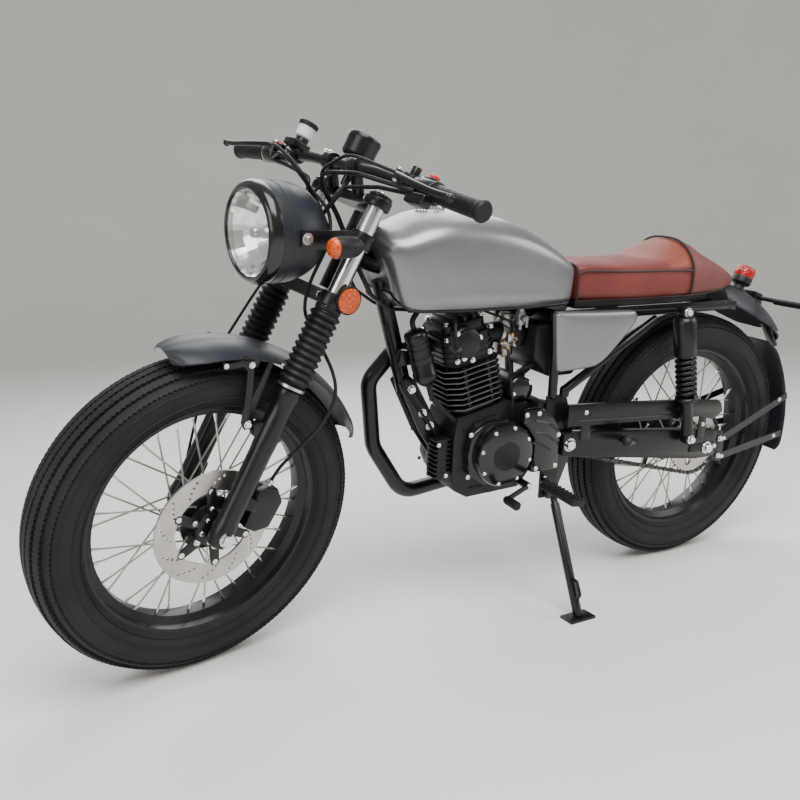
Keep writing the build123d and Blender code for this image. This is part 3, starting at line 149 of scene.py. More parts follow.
MACHINE = upright_machine()
FORK = steered_fork()
AXLE_UP = Matrix.Translation((0, 0, AXLE_HEIGHT))
PLACES = {
    Place.FRAME: MACHINE,
    Place.REAR_WHEEL: MACHINE @ AXLE_UP,
    Place.FORK: FORK,
    Place.FRONT_WHEEL: FORK,
    Place.LAMP: FORK @ fork_in_machine().inverted(),
}


# Finishes

class Wire:
    """A socket of a material that takes Python arithmetic, each step a Math node."""

    def __init__(self, paint: "Paint", socket: bpy.types.NodeSocket) -> None:
        """Keep the socket and the material that it belongs to."""
        self.paint = paint
        self.socket = socket

    def maths(self, operation: str, *values: Any) -> "Wire":
        """Feed values to a Math node.

        Args:
            operation: The node's operation.
            *values: Wires or numbers, in the order of its sockets.

        Returns:
            The node's output.
        """
        return self.paint.node("ShaderNodeMath", {"operation": operation}, dict(enumerate(values)))

    def __add__(self, other: Any) -> "Wire":
        """Sum."""
        return self.maths("ADD", self, other)

    __radd__ = __add__

    def __sub__(self, other: Any) -> "Wire":
        """Difference."""
        return self.maths("SUBTRACT", self, other)

    def __rsub__(self, other: Any) -> "Wire":
        """Difference, with this one taken away."""
        return self.maths("SUBTRACT", other, self)

    def __mul__(self, other: Any) -> "Wire":
        """Product."""
        return self.maths("MULTIPLY", self, other)

    __rmul__ = __mul__

    def span(self, low: float, high: float, start: float = 0.0, end: float = 1.0) -> "Wire":
        """Map a range of values to another range, held at its ends.

        Args:
            low: Value that becomes start.
            high: Value that becomes end.
            start: Result at the low end.
            end: Result at the high end.

        Returns:
            The mapped value.
        """
        return self.paint.node("ShaderNodeMapRange", {"clamp": True},
                               {"Value": self, "From Min": low, "From Max": high, "To Min": start, "To Max": end})


class Paint:
    """A material being mixed from nodes round one Principled shader."""

    def __init__(self, name: str) -> None:
        """Start a material of that name."""
        self.material = bpy.data.materials.new(name)
        self.material.use_nodes = True
        self.tree = self.material.node_tree
        self.shader = self.tree.nodes["Principled BSDF"]

    def node(self, kind: str, settings: Optional[dict] = None,
             sockets: Optional[dict] = None, output: Union[int, str] = 0) -> Wire:
        """Add a node of any kind.

        Args:
            kind: The node's type.
            settings: The node's own settings, set first.
            sockets: Values or wires by the input's name or number.
            output: Which output to return.

        Returns:
            The chosen output.
        """
        made = self.tree.nodes.new(kind)
        for key, value in (settings or {}).items():
            setattr(made, key, value)
        for key, value in (sockets or {}).items():
            if isinstance(value, Wire):
                self.tree.links.new(value.socket, made.inputs[key])
            else:
                made.inputs[key].default_value = value
        return Wire(self, made.outputs[output])

    def at(self, scale: Point = (1.0, 1.0, 1.0), turn: Point = (0.0, 0.0, 0.0)) -> Wire:
        """Object coordinates, scaled and turned by a Mapping node."""
        where = self.node("ShaderNodeTexCoord", output="Object")
        return self.node("ShaderNodeMapping", {}, {"Vector": where, "Rotation": turn, "Scale": scale})

    def noise(self, scale: float, detail: float = 3.0, where: Optional[Wire] = None) -> Wire:
        """Cloudy noise between 0 and 1, over Object coordinates unless told otherwise."""
        sockets = {"Vector": where or self.at(), "Scale": scale, "Detail": detail}
        return self.node("ShaderNodeTexNoise", {}, sockets, "Fac")

    def cells(self, scale: float, feature: str = "F1", where: Optional[Wire] = None) -> Wire:
        """Distance in a pattern of cells, over Object coordinates unless told otherwise."""
        sockets = {"Vector": where or self.at(), "Scale": scale}
        return self.node("ShaderNodeTexVoronoi", {"feature": feature}, sockets, "Distance")

    def blend(self, share: Any, first: Any, second: Any) -> Wire:
        """Mix two colours by a share."""
        made = self.tree.nodes.new("ShaderNodeMix")
        made.data_type = "RGBA"
        for socket, value in ((made.inputs[0], share), (made.inputs[6], first), (made.inputs[7], second)):
            if isinstance(value, Wire):
                self.tree.links.new(value.socket, socket)
            else:
                socket.default_value = (*value, 1.0) if isinstance(value, tuple) else value
        return Wire(self, made.outputs[2])

    def still(self, **values: Any) -> "Paint":
        """Set constants on the shader, spaces in their names written as underscores."""
        for key, value in values.items():
            name = key.replace("_", " ")
            self.shader.inputs[name].default_value = (*value, 1.0) if isinstance(value, tuple) else value
        return self

    def feed(self, name: str, wire: Wire) -> "Paint":
        """Link a wire to one of the shader's sockets."""
        self.tree.links.new(wire.socket, self.shader.inputs[name])
        return self

    def relief(self, height: Wire, depth: float, strength: float = 1.0) -> "Paint":
        """Raise the surface by a height from 0 to 1 over a depth in metres."""
        bump = self.node("ShaderNodeBump", {}, {"Height": height, "Distance": depth, "Strength": strength})
        return self.feed("Normal", bump)


@dataclass(frozen=True)
class Coat:
    """Paint or plastic: an even colour with fine grain, cloudy wear and a little dust."""

    colour: Colour
    roughness: float = 0.4
    metallic: float = 0.0
    grain: float = 900.0
    depth: float = 0.00004
    wear: float = 0.12
    dust: float = 0.05
    clear: float = 0.0

    def mix(self, name: str) -> bpy.types.Material:
        """Mix the material under a name."""
        paint = Paint(name)
        cloud = paint.noise(14.0, 5.0)
        fine = paint.noise(self.grain, 2.0)
        dusty = paint.noise(5.0, 6.0).span(0.45, 0.8) * self.dust
        tint = tuple(min(1.0, c * 1.5 + 0.004) for c in self.colour)
        worn = paint.blend(cloud.span(0.35, 0.75) * self.wear * 2.0, self.colour, tint)
        paint.feed("Base Color", paint.blend(dusty, worn, (0.32, 0.29, 0.25)))
        paint.feed("Roughness", cloud * self.wear + (self.roughness - self.wear / 2) + dusty * 0.6)
        paint.still(Metallic=self.metallic, Coat_Weight=self.clear, Coat_Roughness=0.12, Specular_IOR_Level=0.32)
        paint.relief(fine, self.depth, 0.5)
        return paint.material


@dataclass(frozen=True)
class Rubber:
    """Moulded rubber, greyer where it is dusty."""

    colour: Colour = (0.006, 0.0065, 0.0078)
    bloom: Colour = (0.017, 0.0175, 0.019)
    roughness: float = 0.64

    def mix(self, name: str) -> bpy.types.Material:
        """Mix the material under a name."""
        paint = Paint(name)
        cloud = paint.noise(9.0, 6.0)
        fine = paint.noise(700.0, 2.0)
        paint.feed("Base Color", paint.blend(cloud.span(0.35, 0.8), self.colour, self.bloom))
        paint.feed("Roughness", cloud * 0.25 + (self.roughness - 0.12))
        paint.still(Specular_IOR_Level=0.25)
        paint.relief(fine, 0.00006, 0.5)
        return paint.material


@dataclass(frozen=True)
class Metal:
    """Bare metal with the marks of brushing or turning."""

    colour: Colour
    roughness: float = 0.25
    stretch: Point = (40.0, 900.0, 900.0)
    depth: float = 0.00001
    stain: float = 0.15

    def mix(self, name: str) -> bpy.types.Material:
        """Mix the material under a name."""
        paint = Paint(name)
        lines = paint.noise(1.0, 3.0, paint.at(self.stretch))
        cloud = paint.noise(22.0, 5.0)
        dark = tuple(c * 0.45 for c in self.colour)
        paint.feed("Base Color", paint.blend(cloud.span(0.45, 0.85) * self.stain * 3.0, self.colour, dark))
        paint.feed("Roughness", lines * 0.16 + cloud * self.stain + (self.roughness - 0.1))
        paint.still(Metallic=1.0)
        paint.relief(lines, self.depth, 0.4)
        return paint.material


@dataclass(frozen=True)
class Leather:
    """Padded red-brown leather: pebbled grain, creases, random cloudy tone and painted shade in the grain's hollows.
    """

    colour: Colour = (0.20, 0.038, 0.022)
    # Darker colour, used for random cloudy tone and for painted shade in the grain's hollows
    dark: Colour = (0.075, 0.014, 0.010)

    def mix(self, name: str) -> bpy.types.Material:
        """Mix the material under a name."""
        paint = Paint(name)
        pebble = paint.cells(650.0, "F1")
        crease = paint.cells(190.0, "DISTANCE_TO_EDGE")
        cloud = paint.noise(11.0, 6.0)
        # Darker by random cloudy tone, plus painted shade in the hollows between the pebbles
        tone_and_painted_shade = cloud.span(0.3, 0.75) * 0.5 + pebble.span(0.2, 0.9) * 0.35
        paint.feed("Base Color", paint.blend(tone_and_painted_shade, self.colour, self.dark))
        paint.feed("Roughness", cloud * 0.2 + pebble * 0.2 + 0.33)
        paint.still(Specular_IOR_Level=0.45)
        paint.relief(crease.span(0.0, 0.12) * 0.6 + (1.0 - pebble) * 0.4, 0.00035, 0.6)
        return paint.material


@dataclass(frozen=True)
class Lens:
    """Moulded lens plastic or lamp glass, tinted, with a fine inner pattern whose cells carry painted glints,
    brighter in their middles.
    """

    colour: Colour
    pattern: float = 260.0
    clearness: float = 0.0
    rough: float = 0.1
    depth: float = 0.0006

    def mix(self, name: str) -> bpy.types.Material:
        """Mix the material under a name."""
        paint = Paint(name)
        prism = paint.cells(self.pattern, "DISTANCE_TO_EDGE")
        # Lighter tint for painted glints of the lens facets, brightest in the middle of each cell
        bright = tuple(min(1.0, c * 2.1) for c in self.colour)
        paint.feed("Base Color", paint.blend(prism.span(0.0, 0.4), self.colour, bright))
        paint.feed("Roughness", prism * self.rough + self.rough * 0.5)
        paint.still(Transmission_Weight=self.clearness, IOR=1.5, Coat_Weight=0.15)
        paint.relief(prism.span(0.0, 0.3), self.depth, 0.5)
        return paint.material


class Finish(Enum):
    """The finishes of the machine, each with its recipe."""

    TYRE = Rubber()
    GAITER = Rubber((0.004, 0.004, 0.0045), (0.012, 0.012, 0.0125), 0.46)
    MATT_BLACK = Coat((0.011, 0.0135, 0.019), 0.4, wear=0.08, dust=0.012)
    SATIN_BLACK = Coat((0.003, 0.003, 0.0034), 0.32, wear=0.10, dust=0.01, clear=0.1)
    ENGINE_BLACK = Coat((0.004, 0.004, 0.0044), 0.38, grain=500.0, depth=0.00012, wear=0.12, dust=0.016)
    GLOSS_BLACK = Coat((0.004, 0.004, 0.005), 0.2, wear=0.06, dust=0.01, clear=0.4)
    PLASTIC = Coat((0.005, 0.005, 0.0056), 0.46, grain=1600.0, depth=0.00010, wear=0.12, dust=0.014)
    SILVER = Coat((0.215, 0.22, 0.225), 0.34, 0.8, grain=1500.0, depth=0.00002, wear=0.07, dust=0.05, clear=0.1)
    CHROME = Metal((0.75, 0.75, 0.76), 0.16, stain=0.08)
    STEEL = Metal((0.5, 0.49, 0.47), 0.3)
    ALLOY = Metal((0.42, 0.42, 0.42), 0.38, (300.0, 300.0, 300.0), 0.00003, 0.3)
    OILED = Metal((0.10, 0.10, 0.10), 0.38, stain=0.4)
    GOLD = Metal((0.55, 0.48, 0.16), 0.3)
    LEATHER = Leather((0.17, 0.025, 0.018), (0.075, 0.011, 0.009))
    TAN_LEATHER = Leather((0.22, 0.044, 0.021), (0.115, 0.022, 0.012))
    PLUM_LEATHER = Leather((0.155, 0.034, 0.032), (0.08, 0.018, 0.018))
    PIPING = Leather((0.035, 0.012, 0.012), (0.015, 0.007, 0.007))
    FACETS = Metal((0.9, 0.9, 0.88), 0.14, stain=0.02)
    EDGE = Metal((0.16, 0.16, 0.165), 0.36, stain=0.3)
    BRASS = Metal((0.62, 0.45, 0.20), 0.26)
    THREAD = Coat((0.16, 0.03, 0.02), 0.6)
    AMBER = Lens((0.38, 0.045, 0.0003), pattern=140.0, rough=0.08, depth=0.0016)
    RED = Lens((0.24, 0.002, 0.003), pattern=140.0, rough=0.08, depth=0.0012)
    RED_PLASTIC = Coat((0.5, 0.01, 0.012), 0.35)
    GLASS = Lens((0.95, 0.96, 0.96), clearness=0.98, pattern=90.0, rough=0.02, depth=0.00005)
    FLUID = Coat((0.55, 0.56, 0.55), 0.3, clear=0.3)

    @property
    def material(self) -> bpy.types.Material:
        """The finish's one material, mixed when it is first asked for."""
        name = f"finish_{self.name.lower()}"
        return bpy.data.materials.get(name) or self.value.mix(name)


# Shaping in millimetres

Thing = bpy.types.Object
Shape = Union[bpy.types.Object, Sequence[bpy.types.Object]]


def fresh() -> None:
    """Go to object mode with nothing selected."""
    if bpy.context.mode != "OBJECT":
        bpy.ops.object.mode_set(mode="OBJECT")
    bpy.ops.object.select_all(action="DESELECT")


def pick(things: Sequence[Thing]) -> None:
    """Select only these, the first one active."""
    fresh()
    for thing in things:
        thing.select_set(True)
    bpy.context.view_layer.objects.active = things[0]


def edit(thing: Thing, *steps: Callable[[], Any]) -> Thing:
    """Run edit-mode steps on one piece with all of it selected, and mend its normals.

    Args:
        thing: The piece.
        *steps: Calls of operators, in order.

    Returns:
        The same piece.
    """
    pick([thing])
    bpy.ops.object.mode_set(mode="EDIT")
    bpy.ops.mesh.select_all(action="SELECT")
    for step in steps:
        step()
    bpy.ops.mesh.select_all(action="SELECT")
    bpy.ops.mesh.normals_make_consistent(inside=False)
    bpy.ops.object.mode_set(mode="OBJECT")
    return thing


def moved(thing: Thing, matrix: Matrix) -> Thing:
    """Move the mesh itself by a matrix."""
    thing.data.transform(matrix)
    if matrix.determinant() < 0:
        thing.data.flip_normals()
    return thing


def copied(thing: Thing, matrix: Matrix = Matrix.Identity(4)) -> Thing:
    """Copy of a piece with a mesh of its own, moved by a matrix."""
    twin = thing.copy()
    twin.data = thing.data.copy()
    bpy.context.scene.collection.objects.link(twin)
    return moved(twin, matrix)


def joined(things: Sequence[Thing]) -> Thing:
    """Several pieces as one."""
    pick(things)
    if len(things) > 1:
        bpy.ops.object.join()
    return bpy.context.object


def whole(shape: Shape) -> Thing:
    """A shape as one piece, joined where it is several."""
    return shape if isinstance(shape, bpy.types.Object) else joined(shape)


def modified(thing: Thing, kind: str, **settings: Any) -> Thing:
    """Apply one modifier of a kind with settings."""
    pick([thing])
    made = thing.modifiers.new(kind.lower(), kind)
    for key, value in settings.items():
        setattr(made, key, value)
    bpy.ops.object.modifier_apply(modifier=made.name)
    return thing


def eased(thing: Thing, width: float, segments: int = 2, angle: float = 35.0) -> Thing:
    """Round the sharp edges of a piece by a width."""
    return modified(thing, "BEVEL", width=width, segments=segments, limit_method="ANGLE",
                    angle_limit=math.radians(angle), use_clamp_overlap=True)


def drilled(thing: Thing, tools: Shape) -> Thing:
    """A piece with the forms of the tools cut out of it."""
    drill = whole(tools)
    modified(thing, "BOOLEAN", operation="DIFFERENCE", object=drill, solver="EXACT")
    bpy.data.objects.remove(drill)
    return thing


def mirrored(shape: Shape) -> Thing:
    """A shape of the left side together with its twin on the right."""
    thing = whole(shape)
    return joined([thing, copied(thing, Matrix.Scale(-1, 4, (0, 1, 0)))])


def finished(thing: Thing, name: str, finish: Finish, smooth: float) -> Thing:
    """Name a piece in metres and give it its finish and smoothing.

    Args:
        thing: The piece.
        name: Its name.
        finish: Its finish.
        smooth: Angle in degrees below which edges look smooth.

    Returns:
        The same piece.
    """
    thing.name = name
    thing.data.name = name
    thing.data.materials.clear()
    thing.data.materials.append(finish.material)
    pick([thing])
    bpy.ops.object.shade_smooth_by_angle(angle=math.radians(smooth))
    LOG.info("%s: %d faces", name, len(thing.data.polygons))
    return thing


def round_spot(angle: float, y: float, radius: float, x: float = 0.0, z: float = 0.0) -> Vector:
    """Point at an angle in degrees of a circle about (x, z), in the plane of that y."""
    turn = math.radians(angle)
    return Vector((x + radius * math.cos(turn), y, z + radius * math.sin(turn)))


def sheet_row(angle: float, half: float, crown: Callable[[float], float], wall: float,
              height: float = 0.0) -> list[Vector]:
    """Loop of points across a sheet bent round an axle.

    Args:
        angle: Where the row is, in degrees.
        half: Half the sheet's width.
        crown: Outer radius at a share of that half width.
        wall: Thickness of the sheet.
        height: Height of the axle.

    Returns:
        The points over the outer face, then back along the inner one.
    """
    shares = [step / 9 for step in range(-9, 10)]
    outer, inner = ([round_spot(angle, half * share, crown(share) - depth, 0.0, height) for share in shares]
                    for depth in (0.0, wall))
    return outer + inner[::-1]


def toward(start: Point, direction: Point, turn: float = 0.0) -> Matrix:
    """Matrix that puts zero at a point and z along a direction."""
    way = Vector(direction).to_track_quat("Z", "Y").to_matrix().to_4x4()
    return Matrix.Translation(Vector(start)) @ way @ Matrix.Rotation(turn, 4, "Z")


def outlined(points: Sequence[Point]) -> Thing:
    """Closed loop of edges through points, from a circle."""
    fresh()
    bpy.ops.mesh.primitive_circle_add(vertices=len(points))
    loop = bpy.context.object
    for vertex, point in zip(loop.data.vertices, points):
        vertex.co = point
    return loop


def lifted(points: Sequence[Point], way: Point) -> Thing:
    """Solid between a flat outline and the same outline moved along a way."""
    move = {"value": tuple(way)}
    return edit(outlined(points), bpy.ops.mesh.edge_face_add,
                lambda: bpy.ops.mesh.extrude_region_move(TRANSFORM_OT_translate=move))


def slab(outline: Sequence[Point], start: float, end: float, ease: float = 0.0) -> Thing:
    """Plate with an outline of (x, z) points between two values of y, its edges eased."""
    plate = lifted([(x, start, z) for x, z in outline], (0, end - start, 0))
    return eased(plate, ease) if ease else plate


def turned(outline: Sequence[Point], place: Matrix = Matrix.Identity(4), steps: int = 48) -> Thing:
    """Solid of revolution about z of a closed outline of (radius, height) points.

    Args:
        outline: Points of the half section.
        place: Where the axis goes.
        steps: Facets round it.

    Returns:
        The piece.
    """
    spin = {"steps": steps, "angle": math.tau, "center": (0, 0, 0), "axis": (0, 0, 1)}
    thing = edit(outlined([(r, 0, h) for r, h in outline]), lambda: bpy.ops.mesh.spin(**spin),
                 lambda: bpy.ops.mesh.select_all(action="SELECT"),
                 lambda: bpy.ops.mesh.remove_doubles(threshold=0.01),
                 lambda: bpy.ops.mesh.dissolve_degenerate(threshold=0.01))
    return moved(thing, place)


def about(x: float = 0.0, z: float = 0.0, y: float = 0.0) -> Matrix:
    """Matrix whose z runs along the machine's y, through (x, y, z)."""
    return Matrix.Translation((x, y, z)) @ Matrix.Rotation(-math.pi / 2, 4, "X")


def rod(start: Point, end: Point, radius: float, sides: int = 16, ease: float = 0.0,
        far: Optional[float] = None) -> Thing:
    """Round bar from one point to another, tapered to a far radius if there is one."""
    fresh()
    line = Vector(end) - Vector(start)
    bpy.ops.mesh.primitive_cone_add(vertices=sides, radius1=radius, depth=line.length,
                                    radius2=radius if far is None else far)
    bar = moved(bpy.context.object, toward((Vector(start) + Vector(end)) / 2, line))
    return eased(bar, ease, 2, 50) if ease else bar


def block(size: Point, centre: Point, ease: float = 0.0, turn: Matrix = Matrix.Identity(4)) -> Thing:
    """Box of a size about a centre, with eased edges."""
    fresh()
    bpy.ops.mesh.primitive_cube_add(size=1)
    box = moved(bpy.context.object, Matrix.Diagonal((*size, 1)))
    if ease:
        eased(box, ease, 3)
    return moved(box, Matrix.Translation(Vector(centre)) @ turn)


def ball(centre: Point, radius: float, size: Point = (1, 1, 1)) -> Thing:
    """Round or squashed ball."""
    fresh()
    bpy.ops.mesh.primitive_uv_sphere_add(segments=20, ring_count=12, radius=radius)
    return moved(bpy.context.object, Matrix.Translation(Vector(centre)) @ Matrix.Diagonal((*size, 1)))


def bolt(spot: Point, way: Point, radius: float = 6.0, height: float = 5.0) -> Thing:
    """Hexagon bolt head on its washer, standing on a point along a way."""
    head = eased(rod((0, 0, 1.2), (0, 0, height), radius, 6), radius * 0.1, 1)
    return moved(joined([head, rod((0, 0, 0), (0, 0, 1.2), radius * 1.25, 16)]), toward(spot, way))


def curved(points: Sequence[Point], steps: int = 6, closed: bool = False) -> list[Vector]:
    """Smooth line through points.

    Args:
        points: Points that the line passes.
        steps: Stretches between two of them.
        closed: Whether the last one leads to the first.

    Returns:
        The line's points.
    """
    knots = [Vector(p) for p in points]
    count = len(knots)
    line = []
    for index in range(count if closed else count - 1):
        spots = []
        for offset in (-1, 0, 1, 2):
            place = index + offset
            spots.append(knots[place % count] if closed else knots[min(max(place, 0), count - 1)])
        a, b, c, d = spots
        for step in range(steps):
            t = step / steps
            line.append(0.5 * (2 * b + (c - a) * t + (2 * a - 5 * b + 4 * c - d) * t * t
                               + (3 * b - a - 3 * c + d) * t ** 3))
    return line if closed else line + [knots[-1]]


def cornered(points: Sequence[Point], bends: Union[float, Sequence[float]], steps: int = 7) -> list[Vector]:
    """Line of straight runs with rounded corners.

    Args:
        points: Corners and ends.
        bends: One radius, or one for each corner.
        steps: Stretches in each bend.

    Returns:
        The line's points.
    """
    knots = [Vector(p) for p in points]
    radii = [bends] * len(knots) if isinstance(bends, (int, float)) else [0.0, *bends]
    line = [knots[0]]
    for before, corner, after, radius in zip(knots, knots[1:], knots[2:], radii[1:]):
        back, on = (before - corner).normalized(), (after - corner).normalized()
        half = back.angle(on) / 2
        reach = min(radius / math.tan(half), (before - corner).length * 0.49, (after - corner).length * 0.49)
        start, end = corner + back * reach, corner + on * reach
        for step in range(steps + 1):
            t = step / steps
            line.append(start * (1 - t) ** 2 + corner * 2 * t * (1 - t) + end * t * t)
    return line + [knots[-1]]


def tube(line: Sequence[Point], radius: float, sides: int = 12, closed: bool = False) -> Thing:
    """Round tube along a line of points."""
    fresh()
    bpy.ops.curve.primitive_bezier_curve_add()
    curve = bpy.context.object.data
    curve.splines.clear()
    run = curve.splines.new("POLY")
    run.points.add(len(line) - 1)
    for knot, point in zip(run.points, line):
        knot.co = (*point, 1)
    run.use_cyclic_u = closed
    curve.dimensions = "3D"
    curve.bevel_depth = radius
    curve.bevel_resolution = max(0, sides // 2 - 2)
    curve.use_fill_caps = not closed
    bpy.ops.object.convert(target="MESH")
    return bpy.context.object


def routed(points: Sequence[Point]) -> list[Vector]:
    """Points along the smooth line that a cord's route controls."""
    curve = bpy.data.curves.new("route", "CURVE")
    curve.dimensions = "3D"
    curve.resolution_u = 16
    run = curve.splines.new("NURBS")
    run.points.add(len(points) - 1)
    for knot, point in zip(run.points, points):
        knot.co = (*point, 1)
    run.order_u = 3
    run.use_endpoint_u = True
    holder = bpy.data.objects.new("route", curve)
    mesh = bpy.data.meshes.new_from_object(holder)
    line = [vertex.co.copy() for vertex in mesh.vertices]
    bpy.data.objects.remove(holder)
    bpy.data.meshes.remove(mesh)
    return line


def lofted(sections: Sequence[Sequence[Point]], closed: bool = True, capped: bool = True) -> Thing:
    """Skin through sections with the same count of points, made from a grid.

    Args:
        sections: Rows of points.
        closed: Whether each row runs round into itself.
        capped: Whether the first and last rows are filled.

    Returns:
        The skin.
    """
    rows = [list(row) + [row[0]] if closed else list(row) for row in sections]
    fresh()
    bpy.ops.mesh.primitive_grid_add(x_subdivisions=len(rows[0]) - 1, y_subdivisions=len(rows) - 1)
    skin = bpy.context.object
    flat = [point for row in rows for point in row]
    for vertex, point in zip(skin.data.vertices, flat):
        vertex.co = point
    steps = [lambda: bpy.ops.mesh.remove_doubles(threshold=0.005)]
    if capped:
        steps += [lambda: bpy.ops.mesh.select_all(action="DESELECT"),
                  lambda: bpy.ops.mesh.select_non_manifold(extend=False), lambda: bpy.ops.mesh.edge_face_add()]
    return edit(skin, *steps)


def spring(start: Point, end: Point, radius: float, wire: float, turns: float, steps: int = 20) -> Thing:
    """Coil from one point to another."""
    place = toward(start, Vector(end) - Vector(start))
    length = (Vector(end) - Vector(start)).length
    count = int(turns * steps)
    line = [place @ Vector((radius * math.cos(math.tau * i / steps), radius * math.sin(math.tau * i / steps),
                            length * i / count)) for i in range(count + 1)]
    return tube(line, wire, 10)


def circled(thing: Thing, count: int, axis: str = "Y", start: float = 0.0, whole: float = 360.0) -> Thing:
    """A piece repeated round an axis through zero."""
    turns = [Matrix.Rotation(math.radians(start + whole * i / count), 4, axis) for i in range(count)]
    twins = [copied(thing, turn) for turn in turns]
    bpy.data.objects.remove(thing)
    return joined(twins)


@dataclass
class Assembly:
    """A sub-assembly whose pieces are shaped in the millimetres of one place."""

    place: Place

    def dress(self, shape: Shape, name: str, finish: Finish, replaces: Sequence[str] = (),
              smooth: float = 38.0) -> Thing:
        """Settle a piece in the row frame with its finish.

        Args:
            shape: The shaped piece or pieces.
            name: Its name.
            finish: Its finish.
            replaces: Nodes of the frame that it stands for.
            smooth: Angle in degrees below which edges look smooth.

        Returns:
            The piece.
        """
        thing = finished(moved(whole(shape), self.place.matrix), name, finish, smooth)
        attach(thing, self.place.body)
        if replaces:
            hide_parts(*replaces)
        return thing

    def bridge(self, thing: Thing, name: str, finish: Finish, fixed: Point, steered: Point) -> None:
        """Settle a cable between the frame and the fork in the row frame, with its finish.

        Args:
            thing: The shaped cable.
            name: Its name.
            finish: Its finish.
            fixed: Point on the frame's side of the cable; its place is worked out but not used.
            steered: Point on the fork's side of the cable; its place is worked out but not used.
        """
        finished(moved(thing, self.place.matrix), name, finish, 60)
        self.place.matrix @ Vector(fixed)
        self.place.matrix @ Vector(steered)
        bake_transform(thing)


# Wheels

@dataclass
class WireWheel(Assembly):
    """A wheel's tyre, rim, spokes and hub, with its axle along y."""

    end: str
    hub: Sequence[tuple[float, float]]
    right_seat: Optional[tuple[float, float]] = None
    tyre_section: Sequence[tuple[float, float]] = (
        (331, 0), (330, 18), (326, 32), (318, 44), (306, 54), (290, 60.5), (272, 60), (257, 52), (248, 43),
        (243.6, 37.5))
    # Rows of the tread: distance from the middle, radius of its top, lean in degrees, half width
    tread_rows: Sequence[tuple[float, float, float, float]] = (
        (0, 336.2, 0, 7.6), (21, 334.8, 7, 7.4), (40.5, 327.3, 26, 6.6), (54.5, 311.5, 47, 3.2))
    pitches: int = 96
    spokes: int = 36

    def tyre(self) -> None:
        """Carcass with smooth walls, and rows of sawtooth tread blocks."""
        half = [Vector((r, y, 0)) for r, y in self.tyre_section]
        wall = [(p.x, p.y) for p in curved(half, 3)]
        outline = wall + [(r, -y) for r, y in reversed(wall[1:])]
        body = [turned(outline, about(), 120)]
        for radius, across in ((252, 50), (270, 60.4), (296, 59)):
            for side in SIDES:
                spot = [(radius + 1.6, across * side), (radius, (across + 1.3) * side), (radius - 1.6, across * side)]
                body.append(turned(spot, about(), 120))
        for across, radius, lean, half_width in self.tread_rows:
            for side in (SIDES if across else (1,)):
                body.append(self.tread_row(across * side, radius, lean * side, half_width))
        self.dress(body, f"{self.end}_tyre_tread", Finish.TYRE, [f"{self.end}_tyre"], 30)

    def tread_row(self, across: float, radius: float, lean: float, half: float) -> Thing:
        """One row of blocks round the tyre.

        Args:
            across: Distance from the middle plane.
            radius: Radius of the blocks' tops.
            lean: Degrees that the row leans outwards.
            half: Half the row's width.

        Returns:
            The row.
        """
        length = math.tau * radius / self.pitches
        edge = [(length * i / 4, half + (1.7 if i % 2 else -1.3)) for i in range(5)]
        outline = [(x - length / 2, y, 0) for x, y in edge] + [(x - length / 2, -y, 0) for x, y in reversed(edge)]
        piece = lifted(outline, (0, 0, -6.5))
        moved(piece, Matrix.Translation((0, across, radius)) @ Matrix.Rotation(math.radians(-lean), 4, "X"))
        return circled(piece, self.pitches)

    def rim(self) -> None:
        """Rim with its well and rolled edges."""
        outline = [(243, 38), (246, 39.5), (249, 38), (249, 35), (243, 33), (240, 20), (228, 14), (226, 0)]
        outer = outline + [(r, -y) for r, y in reversed(outline[:-1])]
        inner = [(238, -38), (236, -24), (222, -14), (220, 0), (222, 14), (236, 24), (238, 38)]
        self.dress(turned(outer + inner, about(), 120), f"{self.end}_rim", Finish.SATIN_BLACK,
                   [f"{self.end}_wire_wheel"])

    def spoke_set(self) -> None:
        """Crossed spokes with their nipples and bent heads."""
        wires, nipples = [], []
        for index in range(self.spokes):
            side = 1 if index % 2 else -1
            outside = 1 if (index // 2) % 2 else -1
            angle = index * 360 / self.spokes
            seat, radius = side * (33 + outside * 4.5), 51.0
            if self.right_seat and side < 0:
                seat, radius = self.right_seat[0] + outside * 6, self.right_seat[1]
            inner = round_spot(angle + outside * 40, seat, radius)
            outer = round_spot(angle, side * (7 + outside * 3), 219)
            way = (outer - inner).normalized()
            wires.append(rod(inner, outer, 1.9, 8))
            wires.append(rod(inner - Vector((0, 2.6 * side, 0)), inner + Vector((0, 2.6 * side, 0)), 3.2, 8))
            nipples.append(rod(outer - way * 14, outer + way * 3, 2.6, 8, far=3.4))
        self.dress(wires, f"{self.end}_spokes", Finish.STEEL)
        self.dress(nipples, f"{self.end}_spoke_nipples", Finish.CHROME)

    def build(self) -> None:
        """Tyre, rim, spokes and hub."""
        self.tyre()
        self.rim()
        self.spoke_set()
        self.dress(turned(self.hub, about(), 64), f"{self.end}_hub", Finish.ENGINE_BLACK)


